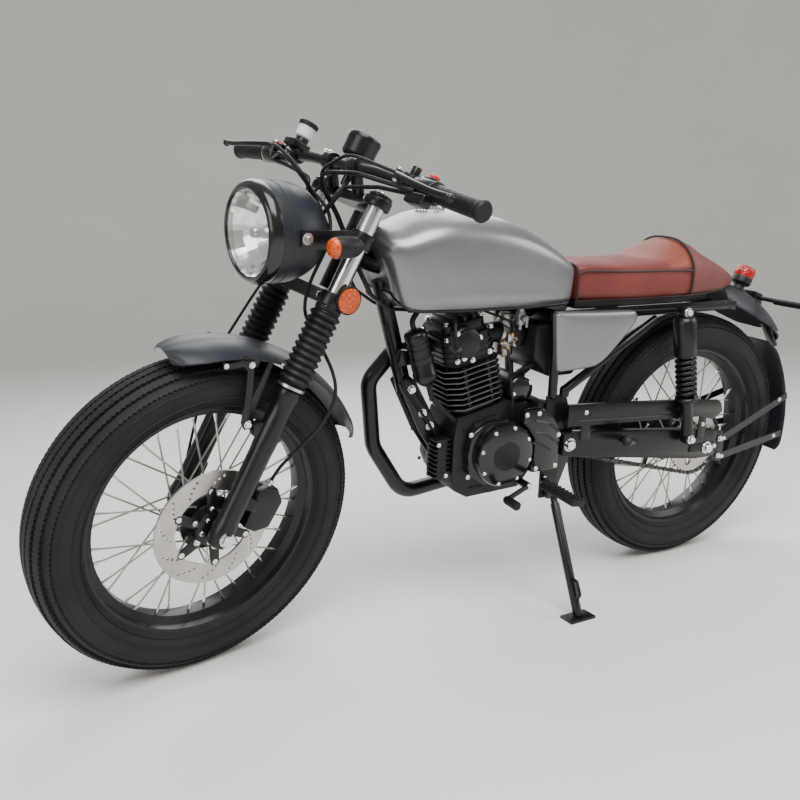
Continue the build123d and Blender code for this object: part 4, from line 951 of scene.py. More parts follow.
@dataclass
class BrakeDisc(Assembly):
    """Drilled steel ring on its black carrier."""

    y: float = 55.75

    def build(self) -> None:
        """Ring, carrier and bolts."""
        ring = turned([(80, self.y), (122, self.y), (122, self.y + 4.5), (80, self.y + 4.5)], about(), 96)
        drills = []
        for angle in range(0, 360, 30):
            for step, radius in enumerate((90, 97, 104, 111)):
                near, far = (round_spot(angle + step * 5, self.y + shift, radius) for shift in (-4, 9))
                drills.append(rod(near, far, 3.1, 10))
        self.dress(drilled(ring, drills), "drilled_disc", Finish.STEEL, ["brake_disc"], 30)
        arm = slab([(18, -13), (60, -10), (84, -9), (88, -5), (88, 5), (84, 9), (60, 10), (18, 13)], self.y + 0.6,
                   self.y + 4.9, 1.2)
        carrier = [circled(arm, 6), turned([(15, self.y), (38, self.y), (38, self.y + 9), (30, self.y + 12),
                                            (15, self.y + 12)], about(), 48)]
        self.dress(carrier, "disc_carrier", Finish.SATIN_BLACK)
        pins = [circled(rod((80, self.y + 4, 0), (80, self.y + 5.2, 0), 6, 20, 0.4), 6),
                circled(bolt((42, self.y + 4.7, 0), LEFT, 5.5, 5), 6),
                circled(bolt((28, self.y + 12, 0), LEFT, 4.5, 4), 6, start=30)]
        self.dress(pins, "disc_bolts", Finish.CHROME)


@dataclass
class RearDrive(Assembly):
    """Rear sprocket with its teeth, lightening windows and nuts."""

    teeth: int = 38

    def build(self) -> None:
        """Toothed plate, carrier and nuts."""
        edge = []
        for index in range(self.teeth):
            for step, radius in ((-0.16, 83.5), (0.16, 83.5), (0.36, 78.5), (0.64, 78.5)):
                turn = math.tau * (index + step) / self.teeth
                edge.append((radius * math.cos(turn), radius * math.sin(turn)))
        plate = slab(edge, 73.5, 78.5)
        holes = [circled(rod((52, 60, 0), (52, 90, 0), 12.5, 24), 5), rod((0, 60, 0), (0, 90, 0), 16, 32)]
        self.dress(drilled(plate, holes), "sprocket_plate", Finish.STEEL, ["rear_sprocket"])
        carrier = turned([(16, 62), (44, 62), (44, 73), (36, 81), (16, 84)], about(), 48)
        self.dress(carrier, "sprocket_carrier", Finish.GOLD)
        self.dress(circled(bolt((36, 79, 0), LEFT, 6, 6), 5, start=36), "sprocket_nuts", Finish.CHROME)


@dataclass
class DriveChain(Assembly):
    """Roller chain round both sprockets."""

    rear: tuple[float, float, float] = (0.0, 336.0, 85.0)
    front: tuple[float, float, float] = (528.0, 428.0, 33.0)
    links: int = 90
    y: float = 76.0

    def line(self) -> list[tuple[Vector, float]]:
        """Middles of the links with their angles, at even steps round both sprockets."""
        rear, front = Vector(self.rear[:2]), Vector(self.front[:2])
        span = front - rear
        lean = math.atan2(span.y, span.x)
        open_angle = math.acos((self.rear[2] - self.front[2]) / span.length)
        run: list[Vector] = []
        for middle, radius, start, end in (
                (front, self.front[2], lean - open_angle, lean + open_angle),
                (rear, self.rear[2], lean + open_angle, lean - open_angle + math.tau)):
            for step in range(61):
                turn = start + (end - start) * step / 60
                run.append(middle + Vector((math.cos(turn), math.sin(turn))) * radius)
        run.append(run[0])
        lengths = [(b - a).length for a, b in zip(run, run[1:])]
        pitch = sum(lengths) / self.links
        spots, travelled, target = [], 0.0, 0.0
        for a, b, length in zip(run, run[1:], lengths):
            while target < travelled + length and len(spots) < self.links:
                spots.append(a + (b - a) * ((target - travelled) / length))
                target += pitch
            travelled += length
        return [((a + b) / 2, math.atan2(b.y - a.y, b.x - a.x))
                for a, b in zip(spots, spots[1:] + spots[:1])]

    def link(self, out: float, pitch: float = 16.0) -> Thing:
        """One link: two waisted plates and a roller."""
        edge = [(-11, -2), (-8, -4.9), (-3.5, -3.6), (3.5, -3.6), (8, -4.9), (11, -2), (11, 2), (8, 4.9), (3.5, 3.6),
                (-3.5, 3.6), (-8, 4.9), (-11, 2)]
        plates = [slab(edge, side * out, side * (out + 1.4)) for side in SIDES]
        roller = rod((-pitch / 2, -out, 0), (-pitch / 2, out, 0), 3.9, 8)
        pin = rod((-pitch / 2, -7.4, 0), (-pitch / 2, 7.4, 0), 1.9, 6)
        return joined([*plates, roller, pin])

    def build(self) -> None:
        """All links."""
        masters = [self.link(3.4), self.link(4.9)]
        copies = []
        for index, (spot, turn) in enumerate(self.line()):
            place = Matrix.Translation((spot.x, self.y, spot.y)) @ Matrix.Rotation(-turn, 4, "Y")
            copies.append(copied(masters[index % 2], place))
        for master in masters:
            bpy.data.objects.remove(master)
        self.dress(copies, "roller_chain", Finish.OILED, ["drive_chain"])


# Carried-over forms

@dataclass
class Carried:
    """Forms of the frame that keep their shape, with eased edges and a finish."""

    # Node, finish, width of the eased edges in millimetres
    rows: Sequence[tuple[str, Finish, float]]

    def build(self) -> None:
        """Renew each node from a merged copy."""
        for node, finish, ease in self.rows:
            self.renew(node, finish, ease)

    def renew(self, node: str, finish: Finish, ease: float) -> None:
        """Merged copy of a node with eased edges.

        Args:
            node: The node's name.
            finish: Its finish.
            ease: Width of the eased edges in millimetres.
        """
        thing = frame["nodes"][node].copy()
        thing.data = thing.data.copy()
        thing.parent = None
        for key in list(thing.keys()):
            del thing[key]
        bpy.context.scene.collection.objects.link(thing)
        edit(thing, lambda: bpy.ops.mesh.remove_doubles(threshold=0.00002),
             lambda: bpy.ops.mesh.dissolve_limited(angle_limit=math.radians(2)))
        if ease:
            eased(thing, ease * MILLIMETRE, 2, 42)
        finished(thing, f"{node}_body", finish, 40)
        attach(thing, frame["nodes"][node]["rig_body"])
        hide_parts(node)


# Tank, seat and covers

def even_rows(rows: Sequence[Sequence[float]], steps: int) -> list[list[float]]:
    """Rows of numbers with smooth rows between them, column by column."""
    columns = [[p.x for p in curved([(value, 0, 0) for value in column], steps)] for column in zip(*rows)]
    return [list(row) for row in zip(*columns)]


@dataclass
class FuelTank(Assembly):
    """Slab-sided tank with its lower seam, cap and tap."""

    cap_x: float = 797.0
    # Lower x, lower z, upper x, upper z, half width low, half width at the widest
    sections: Sequence[tuple[float, ...]] = (
        (906, 786, 939, 862, 38, 44), (910, 772, 943, 870, 54, 62), (901, 754, 939, 890, 78, 86),
        (886, 744, 918, 902, 92, 100), (862, 739, 888, 911, 98, 107), (826, 738, 845, 928, 101, 113),
        (786, 737, 797, 936, 103, 117),
        (730, 736, 735, 935, 103, 118), (667, 736, 667, 926, 102, 118), (610, 735, 610, 911, 100, 115),
        (560, 735, 556, 889, 97, 110), (510, 735, 504, 860, 91, 102), (478, 737, 470, 836, 84, 92),
        (472, 741, 465, 829, 79, 86))
    profile: Sequence[tuple[float, float]] = (
        (0.955, 0.0), (0.985, 0.10), (0.995, 0.25), (1, 0.45), (0.99, 0.64), (0.965, 0.745), (0.90, 0.82),
        (0.77, 0.885),
        (0.52, 0.955), (0.25, 0.992), (0.0, 1.0))

    def section(self, row: Sequence[float]) -> list[Vector]:
        """Loop of points of one section, up its right side and down its left."""
        low_x, low_z, top_x, top_z, half_low, half = row
        rise = Vector((top_x - low_x, 0, top_z - low_z))
        share = [(half_low / half, 0.0), *self.profile[1:]]
        side = [(p.x * half, p.y) for p in curved([(a, b, 0) for a, b in share], 3)]
        base = [(half_low * 0.93, -0.012), (half_low * 0.5, -0.012)]
        around = [(-a, b) for a, b in base[::-1] + side] + [(a, b) for a, b in side[-2::-1] + base]
        return [Vector((low_x, a, low_z)) + rise * b for a, b in around]

    def build(self) -> None:
        """Shell with its seam, cap and tap."""
        rows = [self.section(row) for row in even_rows(self.sections, 4)]
        shell = lofted(rows)
        recess = rod((1045, 0, 700), (930, 0, 1005), 35, 32)
        self.dress(drilled(shell, recess), "tank_shell", Finish.SILVER, ["fuel_tank"], 50)
        edge = [Vector((x, half, z - 1)) for x, z, _, _, half, _ in even_rows(self.sections[1:], 4)]
        seam = edge + [Vector((p.x, -p.y, p.z)) for p in reversed(edge)]
        self.dress(tube(seam, 3.2, 8, closed=True), "tank_seam", Finish.SATIN_BLACK)
        cap = [(0, 929), (33, 929), (33, 933), (31, 935), (31, 941), (29.5, 944.5), (24, 946), (0, 946.6)]
        ribs = circled(block((3, 1.6, 7), (31, 0, 938)), 28, "Z")
        place = Matrix.Translation((self.cap_x, 0, 0))
        self.dress(moved(joined([turned(cap), ribs]), place), "tank_cap", Finish.CHROME, ["fuel_cap"])
        lock = [rod((self.cap_x, 0, 946), (self.cap_x, 0, 948), 8, 24), block((9, 2.2, 1.6), (self.cap_x, 0, 948.6))]
        self.dress(lock, "cap_lock", Finish.STEEL)
        tap = [rod((573, 44, 738), (573, 44, 712), 9, 16, 1), rod((573, 40, 700), (573, 66, 700), 8, 16, 1),
               rod((573, 44, 714), (573, 44, 684), 11, 20, 1.5), block((6, 4, 26), (573, 68, 694), 1.5),
               rod((573, 44, 686), (573, 44, 672), 4.5, 12)]
        self.dress(tap, "fuel_tap", Finish.ALLOY)


@dataclass
class Saddle(Assembly):
    """Padded bench, the hump's face and cowl, with seams and piping."""

    # x, lower z, shoulder z, crown z, half width
    sections: Sequence[tuple[float, ...]] = (
        (457, 738, 800, 822, 90), (440, 738, 808, 826, 96), (360, 738, 806, 820, 103), (262, 738, 804, 820, 106),
        (232, 738, 804, 821, 106), (204, 738, 804, 826, 106), (176, 738, 803, 843, 106), (148, 738, 803, 859, 106),
        (128, 738, 802, 866, 106), (112, 738, 801, 867, 105),
        (84, 738, 799, 861, 101), (42, 738, 795, 838, 90), (-10, 740, 785, 817, 74), (-60, 743, 775, 797, 54),
        (-100, 748, 765, 778, 34), (-121, 753, 760, 766, 18))
    # Height from which the padding swells
    heart: float = 772.0
    flank: Sequence[tuple[float, float]] = ((0.93, 0), (0.985, 0.12), (1, 0.4), (1, 0.75), (0.985, 0.97))
    bench_crown: Sequence[tuple[float, float]] = ((0.955, 0.30), (0.86, 0.66), (0.6, 0.92), (0.25, 1), (0, 1))
    hump_crown: Sequence[tuple[float, float]] = ((0.955, 0.20), (0.84, 0.50), (0.62, 0.80), (0.34, 0.965), (0, 1))

    def row(self, x: float) -> list[float]:
        """The columns of a section anywhere along the seat."""
        spots = even_rows(self.sections, 8)
        for ahead, behind in zip(spots, spots[1:]):
            if behind[0] <= x <= ahead[0]:
                share = (ahead[0] - x) / max(ahead[0] - behind[0], 0.001)
                return [a + (b - a) * share for a, b in zip(ahead, behind)]
        return list(spots[0] if x > spots[0][0] else spots[-1])

    def half(self, x: float) -> list[Vector]:
        """Left half of a section, from its lower edge to the middle of the crown."""
        _, low, shoulder, crown, width = self.row(x)
        hump = min(1.0, max(0.0, (262 - x) / 100))
        points = [(width * a, low + (shoulder - low) * b) for a, b in self.flank]
        for (a, b), (c, d) in zip(self.bench_crown, self.hump_crown):
            share, height = a + (c - a) * hump, b + (d - b) * hump
            points.append((width * share, shoulder + (crown - shoulder) * height))
        return [Vector((x, y, z)) for y, z in points]

    def padding(self, stations: Sequence[float], swell: float, tight: float) -> Thing:
        """Stuffed part between two seams.

        Args:
            stations: Places along x of its sections, the first and last at the seams.
            swell: How far the leather swells between the seams.
            tight: How far it is drawn in at the seams.

        Returns:
            The padded part.
        """
        rows = []
        for x in stations:
            share = (x - stations[0]) / (stations[-1] - stations[0])
            puff = swell * math.sin(math.pi * share) ** 0.6 - tight * (abs(share - 0.5) * 2) ** 14
            side = []
            for index, point in enumerate(self.half(x)):
                fold = 1.5 if index == 4 else 0.0
                out = (point - Vector((x, 0, self.heart))).normalized()
                side.append(point + out * (puff - fold))
            around = [Vector((p.x, -p.y, p.z)) for p in side[:-1]] + list(reversed(side))
            rows.append(around)
        part = lofted(rows)
        return modified(part, "SUBSURF", levels=1, render_levels=1)

    @staticmethod
    def piping(line: Sequence[Vector], radius: float = 2.4) -> Thing:
        """Round piping along a line."""
        return tube(line, radius, 8)

    def shoulder(self, start: float, end: float, steps: int = 26) -> list[Vector]:
        """Line along the seam between side and crown."""
        return [self.half(start + (end - start) * i / steps)[4] + Vector((0, 1.2, 1.0)) for i in range(steps + 1)]

    def arch(self, x: float, grow: float = 1.0) -> list[Vector]:
        """Line over the seat across one section, from edge to edge."""
        side = [p + (p - Vector((x, 0, self.heart))).normalized() * grow for p in self.half(x)]
        line = curved([Vector((p.x, -p.y, p.z)) for p in side[:-1]] + list(reversed(side)), 3)
        return line[2:-2]

    def stations(self, start: float, end: float, count: int) -> list[float]:
        """Even places from one x to another, closer at the ends."""
        return [start + (end - start) * (0.5 - 0.5 * math.cos(math.pi * i / count)) for i in range(count + 1)]

    def face_hump(self, bench: Thing) -> None:
        """Give the hump's face, above the shoulder's piping, its smoother leather."""
        bench.data.materials.append(Finish.TAN_LEATHER.material)
        back = self.place.matrix.inverted()
        for face in bench.data.polygons:
            spot = back @ face.center
            rise = self.row(spot.x)[2] + 3
            if spot.x < 238 - abs(spot.y) * 0.5 and spot.z > rise:
                face.material_index = 1

    def build(self) -> None:
        """Bench, hump, cowl, piping and stitches."""
        bench = self.dress(self.padding(self.stations(457, 118, 40), 1.8, 2.0), "seat_bench", Finish.LEATHER,
                           ["seat"], 60)
        self.face_hump(bench)
        cowl = self.dress(self.padding(self.stations(118, -121, 24), 1.2, 1.2), "seat_cowl", Finish.PLUM_LEATHER,
                          smooth=60)
        side = self.shoulder(457, 118)
        trim = [mirrored(self.piping(side)), self.piping(self.arch(118, 2.4), 2.8), self.piping(self.arch(456, 0.5))]
        lower = [self.half(457 - 578 * i / 40)[0] + Vector((0, -1, 1)) for i in range(41)]
        trim.append(mirrored(self.piping(lower, 2.0)))
        self.dress(trim, "seat_piping", Finish.PIPING)
        stitches = []
        for rise in (6.5, -6.5):
            for i in range(70):
                spot = self.half(452 - 330 * i / 69)
                point, on = spot[4] + Vector((0, 0.6, rise)), Vector((2.0, 0, 0))
                inset = 2.6 if rise > 0 else -0.9
                point.y -= inset
                stitches.append(rod(point - on, point + on, 0.55, 5))
        self.dress(mirrored(stitches), "seat_stitches", Finish.THREAD)


@dataclass
class SideCovers(Assembly):
    """Rounded covers below the tank's tail, with their knobs."""

    outline: Sequence[tuple[float, float]] = (
        (537, 708), (534, 720), (524, 724), (420, 720), (322, 717), (306, 712), (302, 702), (310, 684), (352, 640),
        (384, 610), (404, 597), (430, 590), (506, 587), (518, 590), (524, 602))
    # Distance from the middle plane, share drawn in towards the middle
    steps: Sequence[tuple[float, float]] = ((113, 0.03), (114, 0.0), (122, 0.0), (127, 0.015), (130.5, 0.05),
                                            (132.5, 0.11), (133.6, 0.25), (134.2, 0.5), (134.4, 0.8))

    def build(self) -> None:
        """Both covers with soft edges, and their grommets."""
        line = curved([(x, 0, z) for x, z in self.outline], 5, closed=True)
        middle = Vector((425, 0, 662))
        rows = [[p + (middle - p) * share + Vector((0, y, 0)) for p in line] for y, share in self.steps]
        pegs = [rod((x, 107.8, 708), (x, 114, 708), 6) for x in (350, 490)]
        self.dress(mirrored([lofted(rows), *pegs]), "side_cover_shells", Finish.SILVER, ["side_covers"], 60)
        knobs = [rod((x, 107, z), (x, 113.4, z), 11, 20, 1) for x, z in ((505, 702), (345, 698))]
        self.dress(mirrored(knobs), "cover_grommets", Finish.GAITER)


# Front end

@dataclass
class Headlight(Assembly):
    """Round lamp: shell, rim, reflector, lens and bulb."""

    seat: tuple[float, float, float] = (1200.0, 0.0, 897.0)

    def build(self) -> None:
        """Shell, rim, glass and the parts behind it."""
        place = toward(self.seat, (-1, 0, 0))
        profile = [(93, 0), (95, 4), (95, 44), (94, 56), (91, 72), (85, 90), (76, 106), (63, 120), (47, 131),
                   (28, 137), (0, 138.5)]
        inner = [(0, 132), (44, 126), (70, 100), (86, 60), (89, 2)]
        outline = [(p.x, p.y) for p in curved([(r, h, 0) for r, h in profile], 2)] + inner
        shell = [turned(outline, place, 72), turned([(94.6, 30), (95.9, 31.5), (94.6, 33)], place, 72)]
        self.dress(shell, "lamp_shell", Finish.MATT_BLACK, ["headlight_shell"], 45)
        rim = [(80, -13.5), (82, -15.5), (86, -15), (91.5, -11), (95, -5), (96.2, 2), (95.6, 8), (93, 8), (93, -2),
               (80, -8)]
        self.dress(turned(rim, place, 72), "lamp_rim", Finish.GLOSS_BLACK, smooth=50)
        glass = [(0, -21), (30, -20), (58, -17), (78, -13.5), (88, -10), (88, -7), (78, -10.5), (58, -14), (30, -17),
                 (0, -18)]
        self.dress(turned(glass, place, 72), "lamp_glass", Finish.GLASS, ["headlight_lens"], 50)
        bowl = [(87.5, -8), (84, 4), (74, 20), (58, 36), (38, 48), (14, 54), (14, 55.5), (39, 50), (60, 38), (76, 21),
                (86, 5), (88.6, -7)]
        self.dress(turned(bowl, place, 44), "lamp_reflector", Finish.FACETS, smooth=4)
        bulb = [(0, -2), (9, -1), (12, 4), (12, 30), (7, 36), (7, 56), (0, 56)]
        self.dress(turned(bulb, place, 24), "lamp_bulb", Finish.CHROME)
        bolts = [bolt((1146, 100, 903), LEFT, 8, 8), rod((1146, 94, 903), (1146, 101, 903), 11, 20, 1)]
        self.dress(mirrored(bolts), "lamp_bolts", Finish.STEEL)


@dataclass
class FrontSignals(Assembly):
    """Bullet indicators on their stems, and round reflectors."""

    def build(self) -> None:
        """Black bodies, amber lenses, stems and reflectors."""
        place = toward((1122, 150, 896), (-1, 0, 0))
        body = [(19, 2), (20, 5), (20, 34), (18, 46), (13, 55), (6, 59.5), (0, 60.5), (0, 54), (16, 8), (16, 2)]
        shell = [turned(body, place, 36), rod((1066, 101, 893), (1068, 140, 895), 7, 16, 1),
                 rod((1067, 124, 894), (1067.5, 132, 894.5), 9, 16, 1)]
        self.dress(mirrored(shell), "indicator_bodies", Finish.PLASTIC, ["front_indicators"], 45)
        lens = [(0, -12), (8, -11), (15, -7.5), (18.5, -2), (18.8, 3), (0, 4)]
        rear = about(1062, 787)
        plate = [(0, 118.6), (26, 118.6), (26, 122), (24.5, 126), (20, 128), (0, 129)]
        self.dress(mirrored([turned(lens, place, 36), turned(plate, rear, 48)]), "amber_lenses", Finish.AMBER,
                   smooth=45)
        ring = [(24.2, 117.4), (27.6, 117.4), (27.6, 124), (26.4, 125), (24.2, 122)]
        bracket = slab([(1040, 800), (1084, 800), (1084, 776), (1040, 776)], 116.2, 118.4, 0.6)
        self.dress(mirrored([turned(ring, rear, 48), bracket]), "reflector_rims", Finish.PLASTIC)


@dataclass
class ForkLegs(Assembly):
    """Stanchions, yokes, gaiters, sliders and the bar's clamps."""

    leg: float = LEG
    # Distance of the bar's clamps from the middle
    clamp: float = 42.0

    def upright(self, outline: Sequence[tuple[float, float]], steps: int = 40) -> Thing:
        """Turned piece round both legs."""
        return mirrored(turned(outline, Matrix.Translation((0, self.leg, 0)), steps))

    def yoke(self, low: float, high: float) -> Thing:
        """Waisted plate that joins both legs and the stem."""
        half: list[tuple[float, float]] = []
        for middle, radius, start, end in (((0, self.leg), 26, -25, 205), ((-60, 0), 22, 150, 180)):
            for step in range(13):
                turn = math.radians(start + (end - start) * step / 12)
                half.append((middle[0] + radius * math.cos(turn), middle[1] + radius * math.sin(turn)))
        half = [(10, 0), (13, 58)] + half
        whole = half + [(x, -y) for x, y in reversed(half[1:-1])]
        return eased(lifted([(x, y, low) for x, y in whole], (0, 0, high - low)), 3, 3, 50)

    def build(self) -> None:
        """All parts of the fork."""
        yokes = [self.yoke(486, 514), self.yoke(692, 712), self.upright([(18, 712), (24, 712), (24, 716), (21, 719),
                                                                         (18, 719)])]
        for side in SIDES:
            riser = rod((16, self.clamp * side, 708), (46, self.clamp * side, 746), 12, 20)
            clamp = rod((46, self.clamp * side - 13, 746), (46, self.clamp * side + 13, 746), 18, 32, 2)
            yokes += [riser, clamp]
        self.dress(yokes, "yokes", Finish.SATIN_BLACK, ["upper_fork"])
        tubes = [(0, 267), (17, 267), (17, 717), (14, 719), (0, 719)]
        self.dress(self.upright(tubes), "stanchions", Finish.CHROME)
        stem = [rod((-60, 0, 484), (-60, 0, 716), 13, 24), bolt((-60, 0, 712), (0, 0, 1), 15, 9)]
        caps = [mirrored(bolt((0, self.leg, 718), (0, 0, 1), 10, 6))]
        for side in SIDES:
            caps += [bolt((60, self.clamp * side - 7, 758), (0.7, 0, 0.7), 4.2, 5),
                     bolt((60, self.clamp * side + 7, 758), (0.7, 0, 0.7), 4.2, 5)]
        pinch = [mirrored(bolt((20, 74, 500), (0.3, -0.9, 0), 5, 5)),
                 mirrored(bolt((19, 76, 702), (0.3, -0.9, 0), 4.5, 5))]
        self.dress(stem + caps + pinch, "fork_bolts", Finish.CHROME)
        self.gaiters()
        self.sliders()

    def gaiters(self) -> None:
        """Rubber bellows with their bands."""
        outline = [(22.5, 312.6), (26.5, 312.6), (26.5, 322), (24, 324)]
        count, low, high = 11, 326.0, 474.0
        pitch = (high - low) / count
        for index in range(count):
            base = low + pitch * index
            outline += [(25.2, base), (29.8, base + pitch * 0.32), (31, base + pitch * 0.5),
                        (29.8, base + pitch * 0.68), (25.2, base + pitch * 0.98)]
        outline += [(24.5, 476), (26, 478), (26, 485.6), (22, 485.6), (17.8, 480), (17.8, 318)]
        self.dress(self.upright(outline, 36), "gaiter_bellows", Finish.GAITER, ["fork_gaiters"], 25)
        bands = self.upright([(25.4, 315), (27.4, 315), (27.4, 320), (25.4, 320)], 36)
        self.dress(bands, "gaiter_bands", Finish.STEEL)

    def sliders(self) -> None:
        """Lower legs with lugs, axle boss and drain screws."""
        outline = [(0, -24), (15, -24), (20, -21), (23, -14), (24.5, -4), (24.5, 14), (23, 26), (22, 40), (22, 180),
                   (23, 192), (23, 246), (22, 256), (22, 290), (24, 294), (24, 310), (22, 312), (17.4, 312),
                   (17.4, 268), (0, 266)]
        parts = [turned(outline, Matrix.Translation((0, self.leg, 0)), 36)]
        parts.append(slab([(12, 198), (34, 205), (38, 212), (38, 228), (34, 234), (12, 240)], 78, 96, 3))
        parts.append(slab([(-12, 54), (-24, 60), (-24, 84), (-12, 92)], 80, 96, 2))
        self.dress(mirrored(parts), "sliders", Finish.SATIN_BLACK, ["fork_sliders"])
        nuts = [rod((0, 114, 0), (0, 125, 0), 13, 6, 1.2), rod((0, 113.6, 0), (0, 115.4, 0), 15, 24),
                bolt((0, 92, -24), (0, 0, -1), 6, 4), bolt((-4, 114.5, -14), (-0.3, 1, -0.4), 4, 3)]
        axle = [rod((0, 58, 0), (0, 114, 0), 11, 24), rod((0, -69, 0), (0, -58, 0), 13, 24),
                rod((0, 60.5, 0), (0, 69, 0), 13, 24)]
        self.dress([mirrored(nuts), *axle], "front_axle_nuts", Finish.CHROME, ["front_axle"])


@dataclass
class FrontFender(Assembly):
    """Short front fender with pointed tips, stays and bolts."""

    start: float = 51.0
    end: float = 134.0
    half: float = 76.0
    wall: float = 2.6
    count: int = 48

    @staticmethod
    def crown(share: float) -> float:
        """Radius of the sheet with its crest, at a share of its half width."""
        return 370.5 - 19 * abs(share) ** 2.6 + 2.4 * math.exp(-(share / 0.10) ** 2)

    def sheet(self) -> Thing:
        """Pressed sheet with a crest and tapered tips."""
        rows = []
        for share in (step / self.count for step in range(self.count + 1)):
            half = self.half * (0.5 + 0.5 * min(1.0, min(share, 1 - share) / 0.10) ** 0.5)
            rows.append(sheet_row(self.start + (self.end - self.start) * share, half, self.crown, self.wall))
        return lofted(rows)

    def build(self) -> None:
        """Sheet, stays and bolts."""
        sheet = self.sheet()
        for side in SIDES:
            drilled(sheet, rod((0, side * LEG, 300), (0, side * LEG, 500), 35, 40))
        self.dress(sheet, "fender_sheet", Finish.MATT_BLACK, ["front_fender"], 45)
        stay = slab([(38.4, 212), (39, 232), (60, 262), (86, 320), (90, 338), (106, 334), (140, 316), (153, 313),
                     (146, 300), (108, 320), (98, 314), (72, 250), (62, 218), (50, 208)], 79, 83, 1)
        hanger = [stay, slab([(44, 226), (62, 240), (62, 344), (50, 346)], 77, 80, 0.8),
                  block((34, 4, 14), (96, 76, 334), 1)]
        self.dress(mirrored(hanger), "fender_stays", Finish.SATIN_BLACK)
        bolts = [bolt((48, 83, 220), LEFT, 6.5, 6), bolt((96, 83, 328), LEFT, 5, 5), bolt((145, 83, 309), LEFT, 4, 4)]
        self.dress(mirrored(bolts), "fender_bolts", Finish.CHROME)


# Engine

